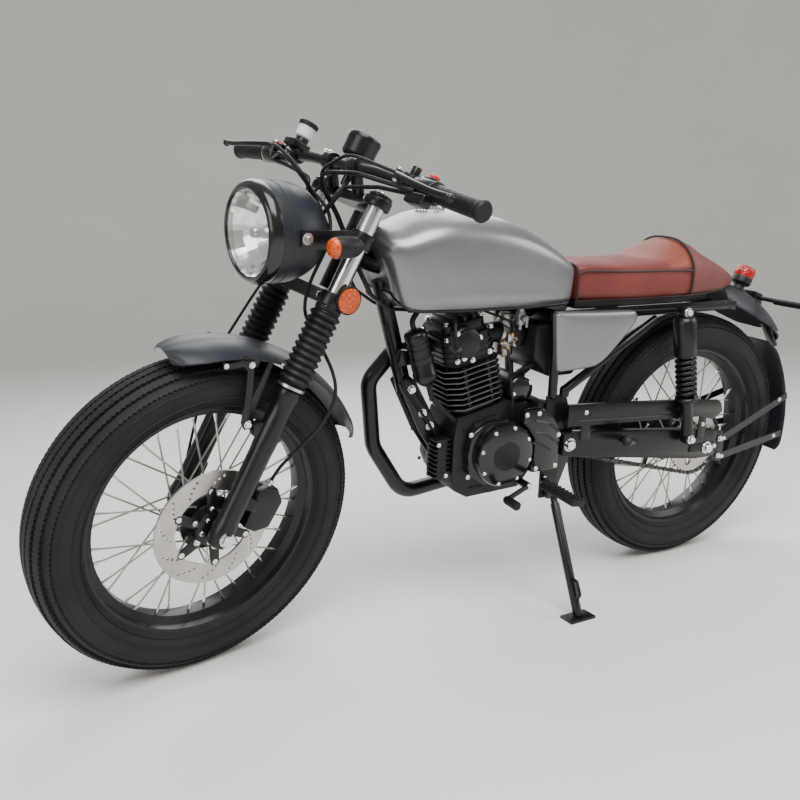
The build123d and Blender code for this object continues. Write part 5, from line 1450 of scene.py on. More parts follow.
@dataclass
class Engine(Assembly):
    """Finned single with its covers, carburettor and exhaust."""

    tilt: float = 13.0
    fins: int = 8
    pitch: float = 13.0
    # Middles of the round covers, x and z
    alternator: tuple[float, float] = (635.0, 400.0)
    rocker: tuple[float, float] = (734.0, 659.0)
    starter: tuple[float, float] = (572.0, 536.0)

    @property
    def barrel(self) -> Matrix:
        """Matrix of the cylinder's own axes, z up the bore from its base."""
        return Matrix.Translation((676, 0, 500)) @ Matrix.Rotation(math.radians(self.tilt), 4, "Y")

    def pad(self, size_x: float, size_y: float, low: float, high: float, corner: float, ease: float = 0.0,
            forward: float = 0.0) -> Thing:
        """Block on the cylinder's axis with cut corners."""
        a, b = size_x / 2, size_y / 2
        outline = [(a - corner, b), (-a + corner, b), (-a, b - corner), (-a, -b + corner), (-a + corner, -b),
                   (a - corner, -b), (a, -b + corner), (a, b - corner)]
        piece = lifted([(x + forward, y, low) for x, y in outline], (0, 0, high - low))
        if ease:
            eased(piece, ease, 3, 30)
        return moved(piece, self.barrel)

    def up(self, x: float, y: float, z: float) -> Vector:
        """Point of the machine from one beside the bore."""
        return self.barrel @ Vector((x, y, z))

    def cylinder(self) -> None:
        """Barrel, fins with worn bright edges, studs and cam chain tunnel."""
        body = [self.pad(104, 104, 0.4, 116, 24, 3), self.pad(114, 114, 0.4, 9, 20, 2),
                self.pad(118, 118, 109, 116, 20, 1)]
        edges = []
        for index in range(self.fins):
            low = 14 + index * self.pitch
            body.append(self.pad(145.2, 145.2, low, low + 4, 26, 0.9))
            edges.append(self.pad(146, 146, low + 1.2, low + 2.8, 26))
        for x in (-30, 30):
            body.append(self.pad(8, 138, 14, 112, 1, 1, x))
        self.dress(body, "cylinder_fins", Finish.ENGINE_BLACK, ["finned_cylinder"])
        self.dress(edges, "fin_edges", Finish.EDGE)

    def head(self) -> None:
        """Head with fins, rocker cover, round side cover, plug and bolts."""
        body = [self.pad(128, 128, 116, 178, 22, 4), self.pad(110, 104, 178, 208, 16, 7),
                self.pad(112, 106, 178, 183, 16, 1), self.pad(92, 84, 206, 214, 14, 4)]
        for index in range(4):
            body.append(self.pad(132, 132, 120 + index * 12.5, 124 + index * 12.5, 22, 1))
        for shift in (-24, 0, 24):
            body.append(self.pad(8, 96, 206, 216, 1, 1.5, shift))
        body += [moved(turned([(0, 60), (36, 60), (36, 74), (31, 78), (31, 86), (27, 88.5), (0, 89)]),
                       about(*self.rocker)), rod((734, 60, 659), (734, -74, 659), 30, 32, 3)]
        low, high = ([round_spot(angle, y, 33, *self.rocker) for angle in (40, 160, 280)] for y in (62, 80))
        body += [rod(start, end, 7, 16, 1) for start, end in zip(low, high)]
        self.dress(body, "head_castings", Finish.ENGINE_BLACK, ["cylinder_head"])
        bolts = [bolt(spot, LEFT, 5, 5) for spot in high]
        way = self.up(0, 0, 1) - self.up(0, 0, 0)
        for x in (-44, 44):
            for y in (-41, 41):
                bolts.append(bolt(self.up(x, y, 207), way, 5.5, 6))
        for x in (-56, 56):
            bolts += [bolt(self.up(x, 56, 178), way, 6.5, 8), bolt(self.up(x, -56, 178), way, 6.5, 8)]
        for x, z in ((-40, 128), (6, 122), (44, 130)):
            bolts.append(bolt(self.up(x, 66, z), LEFT, 5, 5))
        self.dress(bolts, "head_bolts", Finish.CHROME)
        plug = [rod(self.up(38, 58, 150), self.up(52, 92, 160), 7, 16, 1),
                rod(self.up(52, 92, 160), self.up(56, 100, 172), 9, 20, 2)]
        lead = cornered([self.up(56, 98, 170), self.up(60, 104, 196), self.up(40, 78, 236), (716, 30, 742)], 18)
        self.dress([*plug, tube(lead, 3.5, 10)], "plug_and_lead", Finish.GAITER)

    def cases(self) -> None:
        """Crankcase halves, side covers and their bolts."""
        outline = [(745, 338), (745, 428), (738, 486), (606, 516), (545, 502), (528, 486), (520, 340), (556, 292),
                   (700, 288), (737, 310)]
        body = [slab(outline, -64, 64, 7), slab([(750, 350), (750, 420), (738, 440), (724, 420), (724, 350)], -40, 40,
                                                4), rod((572, -40, 536), (572, 58, 536), 30, 40, 3),
                rod((572, 55, 536), (572, 62, 536), 24, 40, 2), slab([(500, 474), (500, 502), (535, 506), (535, 470)],
                                                                     -83, 83, 2),
                rod((528, 60, 428), (528, 84, 428), 12, 24), slab([(700, 470), (640, 486), (612, 470), (700, 440)],
                                                                  60, 74, 5),
                slab([(690, 300), (640, 292), (560, 300), (560, 316), (700, 316)], -66, 66, 3)]
        self.dress(body, "crankcase_castings", Finish.ENGINE_BLACK, ["crankcase"])
        teeth = turned([(9, 73.5), (27, 73.5), (27, 78.5), (9, 78.5)], about(528, 428), 15)
        self.dress(teeth, "front_sprocket", Finish.STEEL)
        base = [(0, 64), (68, 64), (71, 68), (71, 88), (74, 91), (75, 95), (75, 108), (72, 114), (64, 117.5),
                (0, 118.5)]
        alternator = [turned(base, about(*self.alternator), 72), slab([(712, 350), (722, 400), (712, 452), (676, 476),
                                                               (620, 478), (566, 446), (566, 352), (610, 322),
                                                               (672, 322)], 63, 90, 6)]
        covers = [slab([(482, 345), (482, 440), (505, 476), (536, 501), (590, 501), (592, 470), (558, 430),
                        (560, 345)], 91, 113, 7)]
        for index in range(3):
            line = curved([(490 + index * 10, 113, 440 - index * 22), (520 + index * 6, 114, 462 - index * 26),
                           (560 + index * 2, 113, 474 - index * 26)], 6)
            covers.append(tube(line, 2.6, 8))
        starter = turned([(0, 60), (29, 60), (30, 62), (30, 68), (24, 72), (0, 73)], about(*self.starter), 40)
        self.dress(alternator, "alternator_cover", Finish.GLOSS_BLACK, ["engine_covers"])
        self.dress([*covers, starter], "sprocket_cover", Finish.GLOSS_BLACK)
        clutch = [(742, 356), (738, 440), (706, 474), (640, 488), (566, 468), (540, 436), (534, 400), (546, 344),
                  (570, 312), (690, 300), (728, 322)]
        right = [slab(clutch, -98, -64, 5), turned([(0, -104), (56, -103.5), (62, -100), (62, -94), (0, -94)],
                                                   about(620, 396), 56),
                 turned([(0, -105), (20, -105), (24, -101), (24, -94), (0, -94)], about(706, 372), 32),
                 rod((676, -96, 462), (676, -108, 474), 13, 24, 2)]
        self.dress(right, "clutch_cover", Finish.ENGINE_BLACK)
        bolts = [bolt(round_spot(angle, 115.6, 66, *self.alternator), LEFT, 4, 3.5) for angle in range(15, 375, 45)]
        for x, z, y in ((490, 432, 112), (492, 356, 112), (548, 356, 112), (550, 490, 112), (584, 490, 112),
                        (596, 530, 70),
                        (552, 552, 70), (716, 452, 89), (718, 352, 89), (574, 440, 89)):
            bolts.append(bolt((x, y, z), LEFT, 4.6, 4))
        for x, z in ((730, 352), (728, 436), (692, 470), (640, 480), (570, 458), (544, 400), (560, 330), (620, 308),
                     (690, 308)):
            bolts.append(bolt((x, -97, z), RIGHT, 4.6, 4))
        self.dress(bolts, "case_bolts", Finish.CHROME)
        emblem = turned([(0, 117.5), (34, 117.5), (35, 118.6), (34, 119.6), (0, 120.2)], about(*self.alternator), 56)
        self.dress(emblem, "alternator_boss", Finish.ENGINE_BLACK)

    def breath(self) -> None:
        """Inlet rubber, carburettor, air box and their small parts."""
        port = self.up(-66, 0, 147)
        rubber = [rod(port, (604, 0, 662), 24, 24, 2), rod((560, 0, 656), (536, 0, 652), 29, 32, 2),
                  slab([(545, 604), (545, 686), (430, 690), (400, 668), (396, 620), (430, 560), (500, 560)], -72, 72,
                       8)]
        for index in range(4):
            rubber.append(rod((548 - index * 5, 0, 654), (546 - index * 5, 0, 653.6), 31, 32))
        self.dress(rubber, "inlet_rubbers", Finish.PLASTIC, ["intake"])
        body = [rod((604, 0, 662), (560, 0, 656), 26, 32, 2), rod((582, 0, 690), (582, 0, 634), 22, 32, 2),
                rod((582, 0, 704), (582, 0, 688), 17, 32, 3), rod((582, 0, 640), (582, 0, 606), 20, 32, 4),
                block((30, 24, 20), (582, 24, 652), 3), rod((582, 20, 640), (582, 44, 640), 7, 16, 1),
                block((54, 48, 6), (582, 0, 638), 1.5)]
        self.dress(body, "carburettor", Finish.STEEL)
        brass = [rod((590, 30, 662), (590, 44, 662), 4.5, 12, 1), rod((572, 30, 650), (572, 46, 650), 5.5, 6, 0.6),
                 bolt((582, 0, 606), (0, 0, -1), 7, 7), bolt((566, 22, 640), (0, 0, 1), 3, 4),
                 bolt((598, 22, 640), (0, 0, 1), 3, 4), rod((600, 26, 628), (600, 42, 628), 4, 10)]
        self.dress(brass, "carburettor_jets", Finish.BRASS)
        fuel = cornered([(573, 44, 674), (574, 48, 640), (582, 46, 640)], 6)
        overflow = cornered([(600, 40, 628), (606, 58, 600), (600, 74, 520), (596, 70, 470)], 20)
        breather = cornered([(560, 20, 560), (520, 40, 590), (470, 60, 600)], 20)
        choke = cornered([(590, 40, 668), (620, 70, 700), (700, 60, 730), (860, 40, 728)], 25)
        hoses = [tube(fuel, 4, 10), tube(overflow, 3, 10), tube(breather, 6, 10), tube(choke, 3, 8)]
        self.dress(hoses, "engine_hoses", Finish.GAITER)

    def exhaust(self) -> None:
        """Header with its flange and clamp, and the silencer."""
        outlet = self.up(66.3, -34, 153)
        ahead = (self.up(1, 0, 0) - self.up(0, 0, 0)).normalized()
        route = [outlet + ahead * 2, (852, -40, 624), (908, -46, 560), (886, -60, 400), (800, -72, 266),
                 (640, -112, 262), (430, -160, 292)]
        header = tube(cornered(route, [30, 48, 90, 80, 90], 9), 18.2, 24)
        collar = [rod(outlet, outlet + ahead * 9, 28, 6, 2), rod(outlet + ahead * 8, outlet + ahead * 16, 21, 28, 1)]
        hang = slab([(462, 286), (482, 286), (480, 306), (464, 306)], -140, -92, 1.5)
        self.dress([header, *collar, hang], "header_pipe", Finish.SATIN_BLACK, ["exhaust_header"])
        start = Vector((430, -160, 292))
        place = toward(start, Vector((-40, -190, 322)) - start)
        shape = [(19, 1), (25, 3), (26, 28), (32, 36), (40, 52), (42, 60), (42, 440), (40.5, 446), (36, 450),
                 (20, 452), (20, 471), (16, 471), (16, 440), (0, 440), (0, 1)]
        can = [turned(shape, place, 48), turned([(41, 70), (43, 72), (43, 80), (41, 82)], place, 48),
               turned([(41, 426), (43, 428), (43, 436), (41, 438)], place, 48)]
        self.dress(can, "silencer", Finish.SATIN_BLACK, ["muffler"])
        nuts = [bolt(outlet + Vector((0, s * 21, s * 4)) + ahead * 8, ahead, 5, 7) for s in SIDES]
        clip = turned([(26, 8), (28, 8), (28, 18), (26, 18)], place, 36)
        self.dress([*nuts, clip], "exhaust_clamp", Finish.STEEL)

    def build(self) -> None:
        """All of the engine."""
        self.cylinder()
        self.head()
        self.cases()
        self.breath()
        self.exhaust()


@dataclass
class FrameFittings(Assembly):
    """Canister, finned regulator, plates and their bolts beside the down tube."""

    def build(self) -> None:
        """Bolted-on parts of the front of the frame."""
        way = Vector((814 - 852, 0, 566 - 690))
        place = toward((852, 56, 690), way)
        can = [(0, -2), (10, -2), (18, 0), (23, 4), (25, 9), (25, 20), (23.5, 21), (23.5, 25), (25, 26), (25, 34),
               (23.5, 35), (23.5, 38), (25, 39), (25, 96), (26.5, 98), (26.5, 108), (24, 112), (16, 122), (10, 127),
               (0, 127)]
        bracket = slab([(846, 612), (848, 642), (874, 646), (876, 610)], 18.4, 40, 1.5)
        strap = turned([(24.6, 58), (26.6, 58), (26.6, 70), (24.6, 70)], place, 40)
        self.dress([turned(can, place, 40), bracket, strap], "separator_can", Finish.SATIN_BLACK, ["oil_canister"])
        hoses = [tube(cornered([(852, 56, 688), (862, 60, 712), (840, 52, 735), (800, 34, 744)], 16), 6, 12),
                 tube(cornered([(812, 56, 566), (804, 58, 540), (776, 62, 510), (742, 56, 480)], 16), 6, 12),
                 tube(cornered([(770, 34, 436), (800, 36, 480), (858, 30, 560), (905, 24, 700)], 30), 3.4, 8)]
        self.dress(hoses, "frame_hoses", Finish.GAITER)
        fins = [block((40, 36, 3.6), (771, 44, 350 + i * 10.8), 0.8) for i in range(9)]
        core = [slab([(752, 344), (790, 344), (790, 436), (752, 436)], 24.6, 34, 2),
                block((24, 38, 90), (771, 43, 390), 2)]
        self.dress(fins + core, "finned_regulator", Finish.ENGINE_BLACK, ["regulator"])
        plates = slab([(866, 566), (846, 586), (826, 570), (772, 474), (742, 436), (742, 372), (760, 374),
                       (812, 452)], 18.4, 24, 1.2)
        self.dress(mirrored(plates), "mount_plates", Finish.SATIN_BLACK, ["engine_plates"])
        bolts = [bolt((x, 24, z), LEFT, 8, 8) for x, z in ((836, 552), (806, 494), (786, 462))]
        bolts += [bolt((760, 62, 352), LEFT, 4, 4), bolt((782, 62, 428), LEFT, 4, 4)]
        self.dress(mirrored(bolts), "mount_bolts", Finish.CHROME)


# Handlebar

@dataclass
class Handlebar(Assembly):
    """Bar, grips, levers, switches, reservoir and speedometer."""

    # Left end of the bar and the bend of its outer run
    tip: Point = (40.0, 398.0, 725.0)
    bend: Point = (46.0, 110.0, 746.0)
    # Real length of the front brake's hose, in metres
    hose_length: float = 0.87

    def along(self, inward: float, side: int = 1) -> Vector:
        """Point of the bar's outer run at a distance from its end."""
        end, bend = Vector(self.tip), Vector(self.bend)
        spot = end - (end - bend).normalized() * inward
        return Vector((spot.x, spot.y * side, spot.z))

    def sleeve(self, start: float, end: float, radius: float, side: int = 1, sides: int = 28,
               ease: float = 1.0) -> Thing:
        """Round piece on the bar between two distances from its end."""
        return rod(self.along(start, side), self.along(end, side), radius, sides, ease)

    def grips(self) -> None:
        """Rubber grips with end flanges and shallow rings."""
        parts = []
        for side in SIDES:
            place = toward(self.along(122.5, side), self.along(0, side) - self.along(122.5, side))
            profile = [(11.6, 0), (20.5, 0), (21, 2), (20.5, 4), (17, 6)]
            for index in range(7):
                start = 10 + index * 14.5
                profile += [(16.1, start), (16.5, start + 0.8), (16.5, start + 13), (16.1, start + 13.8)]
            profile += [(17, 113), (18.6, 116), (18.6, 122), (16, 126), (0, 126.5), (0, 122), (11.6, 122)]
            parts.append(turned(profile, place, 32))
        self.dress(parts, "grip_rubbers", Finish.GAITER, ["hand_grips"], 25)

    def levers(self) -> None:
        """Perches, blades, switches and their small parts."""
        black, bright, red = [], [], []
        for side in SIDES:
            black += [self.sleeve(178, 206, 17, side), rod(self.along(190, side),
                                                           self.along(190, side) + Vector((36, 0, 2)), 9, 16, 1.5),
                      self.sleeve(124, 170, 20, side, ease=3), self.sleeve(171, 173, 16.5, side)]
            line = []
            for share, out, drop in ((0, 34, 2), (0.06, 43, 0), (0.25, 51, -4), (0.5, 56, -8), (0.75, 56, -10),
                                     (0.94, 55, -9), (1, 52, -9)):
                line.append(self.along(192 - 164 * share, side) + Vector((out, 0, drop)))
            blade = curved(line, 5)
            rows = []
            for index, spot in enumerate(blade):
                thick = 4.4 if index > 3 else 6.5
                tall = 7.5 if index > 3 else 8.5
                rows.append([spot + Vector((thick * math.cos(a), 0, tall * 0.75 * math.sin(a)))
                             for a in (math.tau * k / 12 for k in range(12))])
            black += [lofted(rows), ball(blade[-1], 8, (1, 1, 0.9))]
            boss = self.along(192, side)
            black += [rod(boss, boss + Vector((0, 0, 32)), 9, 20, 1),
                      block((22, 16, 20), boss + Vector((14, 0, 4)), 3)]
            knuckle = boss + Vector((34, 0, 0))
            bright += [bolt(knuckle + Vector((0, 0, 9)), (0, 0, 1), 6, 5),
                       bolt(knuckle + Vector((0, 0, -8)), (0, 0, -1), 5, 4),
                       bolt(self.along(188, side) + Vector((-15, 0, 6)), (-1, 0, 0), 4, 4)]
            box = self.along(147, side)
            black += [block((26, 40, 30), box + Vector((-12, 0, 0)), 4),
                      block((16, 12, 8), box + Vector((-26, 8 * side, 3)), 2),
                      block((10, 10, 8), box + Vector((-26, -10 * side, -5)), 2)]
            black.append(block((22, 30, 12), box + Vector((-4, 0, 17)), 3))
            red.append(block((13, 17, 9), box + Vector((-2, 4 * side, 24)), 2.5))
            if side > 0:
                black.append(block((24, 50, 20), box + Vector((12, 6, -23)), 4))
        bright.append(self.sleeve(124, 127, 20.4, -1))
        black.append(rod(self.along(206, -1), self.along(244, -1), 17, 28, 2))
        foot = self.along(226, -1) + Vector((0, 0, 14))
        black.append(rod(foot, foot + Vector((0, 0, 24)), 14, 28, 2))
        black.append(block((44, 38, 16), foot + Vector((6, 0, 6)), 3))
        pot = [(0, 24), (15, 24), (18.5, 27), (18.5, 50), (0, 50)]
        lid = [(0, 49), (20, 49), (20.5, 51), (20.5, 57), (18.5, 59), (0, 59.5)]
        place = Matrix.Translation(foot)
        self.dress(black, "bar_fittings", Finish.SATIN_BLACK, ["bar_controls"])
        self.dress(bright, "bar_bolts", Finish.CHROME)
        self.dress(red, "bar_buttons", Finish.RED_PLASTIC)
        self.dress(moved(turned(pot, steps=36), place), "fluid_pot", Finish.FLUID)
        ribs = circled(block((2, 2.4, 6), (20.2, 0, 54)), 18, "Z")
        self.dress(moved(joined([turned(lid, steps=36), ribs]), place), "fluid_lid", Finish.PLASTIC)

    def dial(self) -> None:
        """Speedometer with its rim, glass, face and needle."""
        place = Matrix.Translation((24, 0, 0))
        case = [(0, 768), (26, 768), (31, 771), (33, 776), (33, 800), (34, 802), (34, 811), (32.5, 813), (30.5, 813),
                (30.5, 807), (0, 807)]
        stalk = [rod((0, 0, 712.5), (0, 0, 769), 8, 20, 1), block((20, 30, 5), (0, 0, 765), 1.5)]
        self.dress(moved(joined([turned(case, steps=64), *stalk]), place), "dial_case", Finish.SATIN_BLACK,
                   ["speedometer"])
        self.dress(moved(turned([(0, 807.2), (30.2, 807.2), (30.2, 808), (0, 808)], steps=48), place), "dial_face",
                   Finish.FLUID)
        marks = circled(block((1.0, 4.5, 0.5), (0, 26, 808.2)), 24, "Z")
        needle = [block((1.2, 23, 0.6), (0, 8, 809.2), 0.2), rod((0, 0, 808), (0, 0, 810.4), 3.6, 20, 0.5)]
        self.dress(moved(joined([marks, *needle]), place), "dial_needle", Finish.SATIN_BLACK)
        self.dress(moved(turned([(0, 811), (30.4, 811), (30.4, 812.4), (0, 812.8)], steps=48), place), "dial_glass",
                   Finish.GLASS)

    def build(self) -> None:
        """Bar and all that it carries."""
        x, y, z = self.bend
        line = [self.along(1), Vector((x, y, z)), Vector((x, -y, z)), self.along(1, -1)]
        bar = tube(cornered(line, 60, 9), 11, 24)
        self.dress(bar, "bar_tube", Finish.SATIN_BLACK, ["handlebar"])
        self.grips()
        self.levers()
        self.dial()
        hose = [(63.1, -168, 741), (88, -160, 738), (66, -70, 690), (34, 56, 640), (34, 44, 470), (-40, 40, 425),
                (-88, 112, 360), (-96, 120, 290), (-76, 90, 190), (-71, 74, 150), (-70, 72, 114)]
        line = routed(hose)
        cord = self.dress(tube(line, 3.5, 12), "front_brake_hose", Finish.GAITER, ["brake_hose"])
        path = [self.place.matrix @ p for p in line]
        ends = [rod(line[0], line[0] + (line[1] - line[0]) * 0.5, 5.5, 12),
                rod((-70, 72, 114), (-70.4, 73, 126), 5.5, 12), bolt((60, -168, 741), (-1, 0, 0), 7, 6)]
        self.dress(ends, "hose_unions", Finish.CHROME)
        wires = [tube(cornered([self.along(150, 1) + Vector((6, 0, -14)), (60, 150, 716), (62, 60, 700),
                                (60, 30, 640), (66, 20, 560)], 22), 4, 10),
                 tube(cornered([self.along(150, -1) + Vector((6, 0, -14)), (60, -150, 712), (64, -60, 700),
                                (62, -30, 640), (68, -16, 560)], 22), 4, 10),
                 tube(cornered([(24, 8, 770), (30, 24, 730), (52, 30, 690), (60, 24, 620)], 16), 3, 8)]
        self.dress(wires, "bar_wires", Finish.GAITER)
        speed = [(24, -8, 769), (48, -22, 716), (60, -50, 640), (46, -62, 540), (42, -100, 430), (44, -122, 320),
                 (32, -122, 190), (12, -112, 84), (2, -92, 22), (0, -66, 18)]
        self.dress(tube(cornered(speed, [20, 40, 40, 30, 40, 40, 50, 40, 20], 6), 3, 10), "speed_cable",
                   Finish.GAITER)
        drive = [rod((0, -69, 0), (0, -58, 0), 20, 28, 2), rod((0, -66, 16), (2, -86, 21), 5, 12)]
        self.dress(drive, "speed_drive", Finish.ENGINE_BLACK)


@dataclass
class SteeringCables(Assembly):
    """Cables from the levers to the frame, past the headstock."""

    # Start on the bar, corner ahead of it, y beside the headstock, radius of the cable
    runs: Sequence[tuple[Point, Point, float, float]] = (
        ((84, 205, 742), (128, 120, 742), 44.0, 3.2), ((60, -236, 726), (132, -120, 730), -40.0, 3.2),
        ((58, -228, 722), (118, -110, 718), -48.0, 3.2), ((62, 246, 724), (110, 140, 716), 36.0, 4.2))

    def build(self) -> None:
        """Each cable, shaped from the bar past the headstock to the frame."""
        inward = MACHINE.inverted() @ FORK
        for index, (start, corner, side, radius) in enumerate(self.runs):
            swing = [inward @ Vector(p) for p in (start, corner, (112, side * 0.7, 700), (26, side * 0.7, 652))]
            fixed = [Vector((975, side, 820)), Vector((946, side * 0.95, 766)), Vector((900, side * 0.8, 734)),
                     Vector((820, side * 0.7, 726))]
            line = cornered([*swing, *fixed], [60, 50, 36, 40, 30, 30], 8)
            self.bridge(tube(line, radius, 10), f"steering_cable_{index}", Finish.GAITER, fixed[0], swing[-1])


# Rear end

@dataclass
class RearShocks(Assembly):
    """Twin shocks with cans, coils, eyes and rods."""

    top: Point = (165.0, 138.0, 708.0)
    low: Point = (96.0, 138.0, 380.0)

    def build(self) -> None:
        """Both shocks."""
        top, low = Vector(self.top), Vector(self.low)
        way = (low - top).normalized()
        length = (low - top).length
        place = toward(top, way)
        eyes = [rod((p.x, 127, p.z), (p.x, 149, p.z), 15, 32, 1.5) for p in (top, low)]
        can = [(0, 10), (15, 10), (22, 14), (27, 22), (27, 106), (25.5, 111), (18, 112), (0, 112)]
        collar = [(13, 10), (17, 10), (17, 22), (13, 22)]
        seat = [(14.4, 218), (26, 218), (28, 220), (28, 226), (24, 230), (17, 232), (16, 240), (15, 246),
                (15, length - 12), (0, length - 12), (0, 218)]
        body = [*eyes, turned(can, place, 40), turned(collar, place, 32), turned(seat, place, 40)]
        self.dress(mirrored(body), "shock_bodies", Finish.SATIN_BLACK, ["rear_shocks"])
        coil = spring(top + way * 114, top + way * 217, 21.6, 4.8, 7.5, 18)
        self.dress(mirrored(coil), "shock_coils", Finish.SATIN_BLACK, ["shock_springs"], 60)
        self.dress(mirrored(rod(top + way * 108, top + way * 224, 14, 24)), "shock_cores", Finish.PLASTIC)
        nuts = [bolt((p.x, 149.2, p.z), LEFT, 9, 9) for p in (top, low)]
        self.dress(mirrored(nuts), "shock_nuts", Finish.CHROME)


@dataclass
class ArchedSheet(Assembly):
    """Sheet bent round the rear axle, wider or narrower along its way."""

    # Angle in degrees, half width, radius of the crest, drop of the edges
    stations: Sequence[tuple[float, float, float, float]]
    name: str = "sheet"
    finish: Finish = Finish.MATT_BLACK
    node: str = ""
    wall: float = 2.6
    power: float = 2.4

    def build(self) -> None:
        """Lofted sheet from the stations."""
        rows = [sheet_row(angle, half, lambda share: radius - drop * abs(share) ** self.power, self.wall, AXLE_HEIGHT)
                for angle, half, radius, drop in even_rows(self.stations, 5)]
        self.dress(lofted(rows), self.name, self.finish, [self.node], 45)


@dataclass
class TailLamps(Assembly):
    """Tail lamp, slim rear indicators, plate bracket and reflector."""

    @staticmethod
    def sweep(side: int) -> Matrix:
        """Backward turn of an indicator on one side."""
        return Matrix.Rotation(side * math.radians(4.5), 4, "Z")

    def build(self) -> None:
        """Lamps behind the seat."""
        way = Vector((-0.398, 0, 0.917)).normalized()
        foot = Vector((0, 0, AXLE_HEIGHT)) + way * 427.3
        place = toward(foot, way)
        body = [turned([(0, 0), (17, 0), (15, 4), (15, 12), (22, 14), (26, 18), (26, 34), (25, 36), (0, 36)], place,
                       40)]
        for side in SIDES:
            body += [rod((-234, side * 20.3, 704), (-236, side * 76, 703), 6, 16, 1),
                     block((20, 126, 15), (-241, side * 133, 701.5), 5, self.sweep(side))]
        self.dress(body, "tail_bodies", Finish.PLASTIC, ["rear_lamps"])
        red = [turned([(0, 34), (26.2, 34), (27, 38), (26.4, 52), (24, 59), (18, 62.4), (0, 63.6)], place, 40)]
        plate_way = Vector((-0.842, 0, 0.54)).normalized()
        back = toward(Vector((-335, 0, 588.5)) + plate_way * 0.3, plate_way)
        red.append(turned([(0, 2), (18.5, 2), (18.5, 6), (16, 8), (0, 8.6)], back, 40))
        self.dress(red, "red_lenses", Finish.RED, smooth=45)
        self.dress(turned([(0, 0), (20, 0), (20, 7), (18.4, 7), (18.4, 2), (0, 2)], back, 40), "reflector_cup",
                   Finish.PLASTIC)
        amber = [block((3, 104, 9), (-251, side * 133, 701.5), 1.4, self.sweep(side)) for side in SIDES]
        self.dress(amber, "indicator_windows", Finish.AMBER)
        bolts = [bolt(foot + Vector((12, 18 * s, -4)), way, 4, 4) for s in SIDES]
        self.dress(bolts, "tail_bolts", Finish.CHROME)


@dataclass
class RearTrim(Assembly):
    """Bolts, nuts, plates and rods of the rear of the machine."""

    def build(self) -> None:
        """Small parts in order."""
        arm = slab([(476, 378), (476, 430), (468, 434), (-20, 383), (-34, 378), (-34, 312), (-24, 307), (34, 308),
                    (462, 374)], 91, 117, 2.5)
        studs = [rod((96, 117, 380), (96, 154, 380), 6.95, 20), rod((398, 0, 393), (398, 91, 393), 17, 24)]
        self.dress(mirrored([arm, *studs]), "swing_arms", Finish.SATIN_BLACK, ["swingarm"])
        hold = [slab([(-216, 702), (-250, 681), (-250, 712), (-220, 722)], -20, 20, 1),
                slab([(-305, 628), (-318, 615), (-352, 562), (-346, 558), (-300, 622)], -14, 14, 0.8),
                mirrored(slab([(-76, 690), (-76, 712), (-14, 716), (-14, 700)], 72, 82.2, 1))]
        self.dress(hold, "fender_brackets", Finish.SATIN_BLACK)
        welds = [ball((464, 87, 530), 11.6), ball((498, 87, 521.3), 11.4),
                 rod((464, 87, 516), (464, 87, 530), 11.4, 24)]
        self.dress(mirrored(welds), "strut_welds", Finish.SATIN_BLACK)
        marks = [slab([(440, 398), (440, 412), (470, 414), (470, 396)], 116.8, 117.8),
                 slab([(60, 330), (60, 352), (-26, 348), (-26, 326)], 117, 119, 0.6)]
        self.dress(mirrored(marks), "arm_plates", Finish.ENGINE_BLACK)
        bright = [bolt((0, 119, 336), LEFT, 13, 12), bolt((458, 117.4, 404), LEFT, 13, 9),
                  bolt((-28, 119, 337), LEFT, 5, 4), bolt((165, 128, 716), LEFT, 3, 3)]
        for x, z in ((-52, 352), (-54, 304)):
            bright.append(bolt((x, 114, z), LEFT, 6, 6))
        bright += [bolt((420, 120.4, 480), LEFT, 4.5, 4), bolt((28, 120.4, 404), LEFT, 4.5, 4)]
        self.dress(mirrored(bright), "rear_bolts", Finish.CHROME, ["rear_axle"])
        axle = [rod((0, 66.6, 336), (0, 91, 336), 13, 24), rod((0, -91, 336), (0, -60.4, 336), 13, 24)]
        self.dress(axle, "axle_spacers", Finish.STEEL)
        links = [rod((-20, -77, 210), (540, -126, 300), 4, 12), rod((-10, -62, 286), (330, -96, 372), 6, 12),
                 rod((-22, -77, 206), (-10, -74, 214), 8, 16, 1)]
        self.dress(links, "brake_rods", Finish.STEEL)
        guard = [(472, 450), (472, 498), (466, 502), (60, 473), (-14, 466), (-30, 456), (-40, 432), (-10, 412),
                 (40, 426)]
        skin = [slab(guard, 117.4, 120.4, 0.8), slab([(472, 498), (60, 469), (60, 474), (472, 503)], 108, 120.4, 0.8),
                slab([(400, 412), (430, 412), (430, 470), (400, 470)], 117.3, 120, 0.5),
                slab([(16, 366), (42, 366), (42, 440), (16, 440)], 117.3, 120, 0.5),
                tube([(440, 121, 462), (300, 121, 452), (60, 121, 438)], 1.4, 6)]
        self.dress(skin, "chain_cover", Finish.SATIN_BLACK, ["chain_guard"])
        stays = []
        for x, z, rise in ((-60, 346, 84), (-62, 298, 20)):
            start, end = Vector((x, 108, z)), Vector((-346, 74, z + rise))
            way = (end - start).normalized()
            wide = way.cross(Vector((0, 1, 0))).normalized() * 10
            flat = lifted([start + wide, end + wide, end - wide, start - wide], (0, 3, 0))
            stays.append(eased(flat, 0.8, 1))
        stays.append(slab([(-34, 378), (-66, 370), (-74, 330), (-72, 284), (-34, 294)], 105, 111, 1.2))
        self.dress(mirrored(stays), "hugger_stays", Finish.MATT_BLACK)
        pins = [bolt((-70 - i * 238, 111 - i * 30, 350 + i * 74), LEFT, 4.5, 4) for i in (0, 1)]
        pins += [bolt((-72 - i * 238, 111 - i * 30, 299 + i * 18), LEFT, 4.5, 4) for i in (0, 1)]
        self.dress(mirrored(pins), "hugger_bolts", Finish.CHROME)


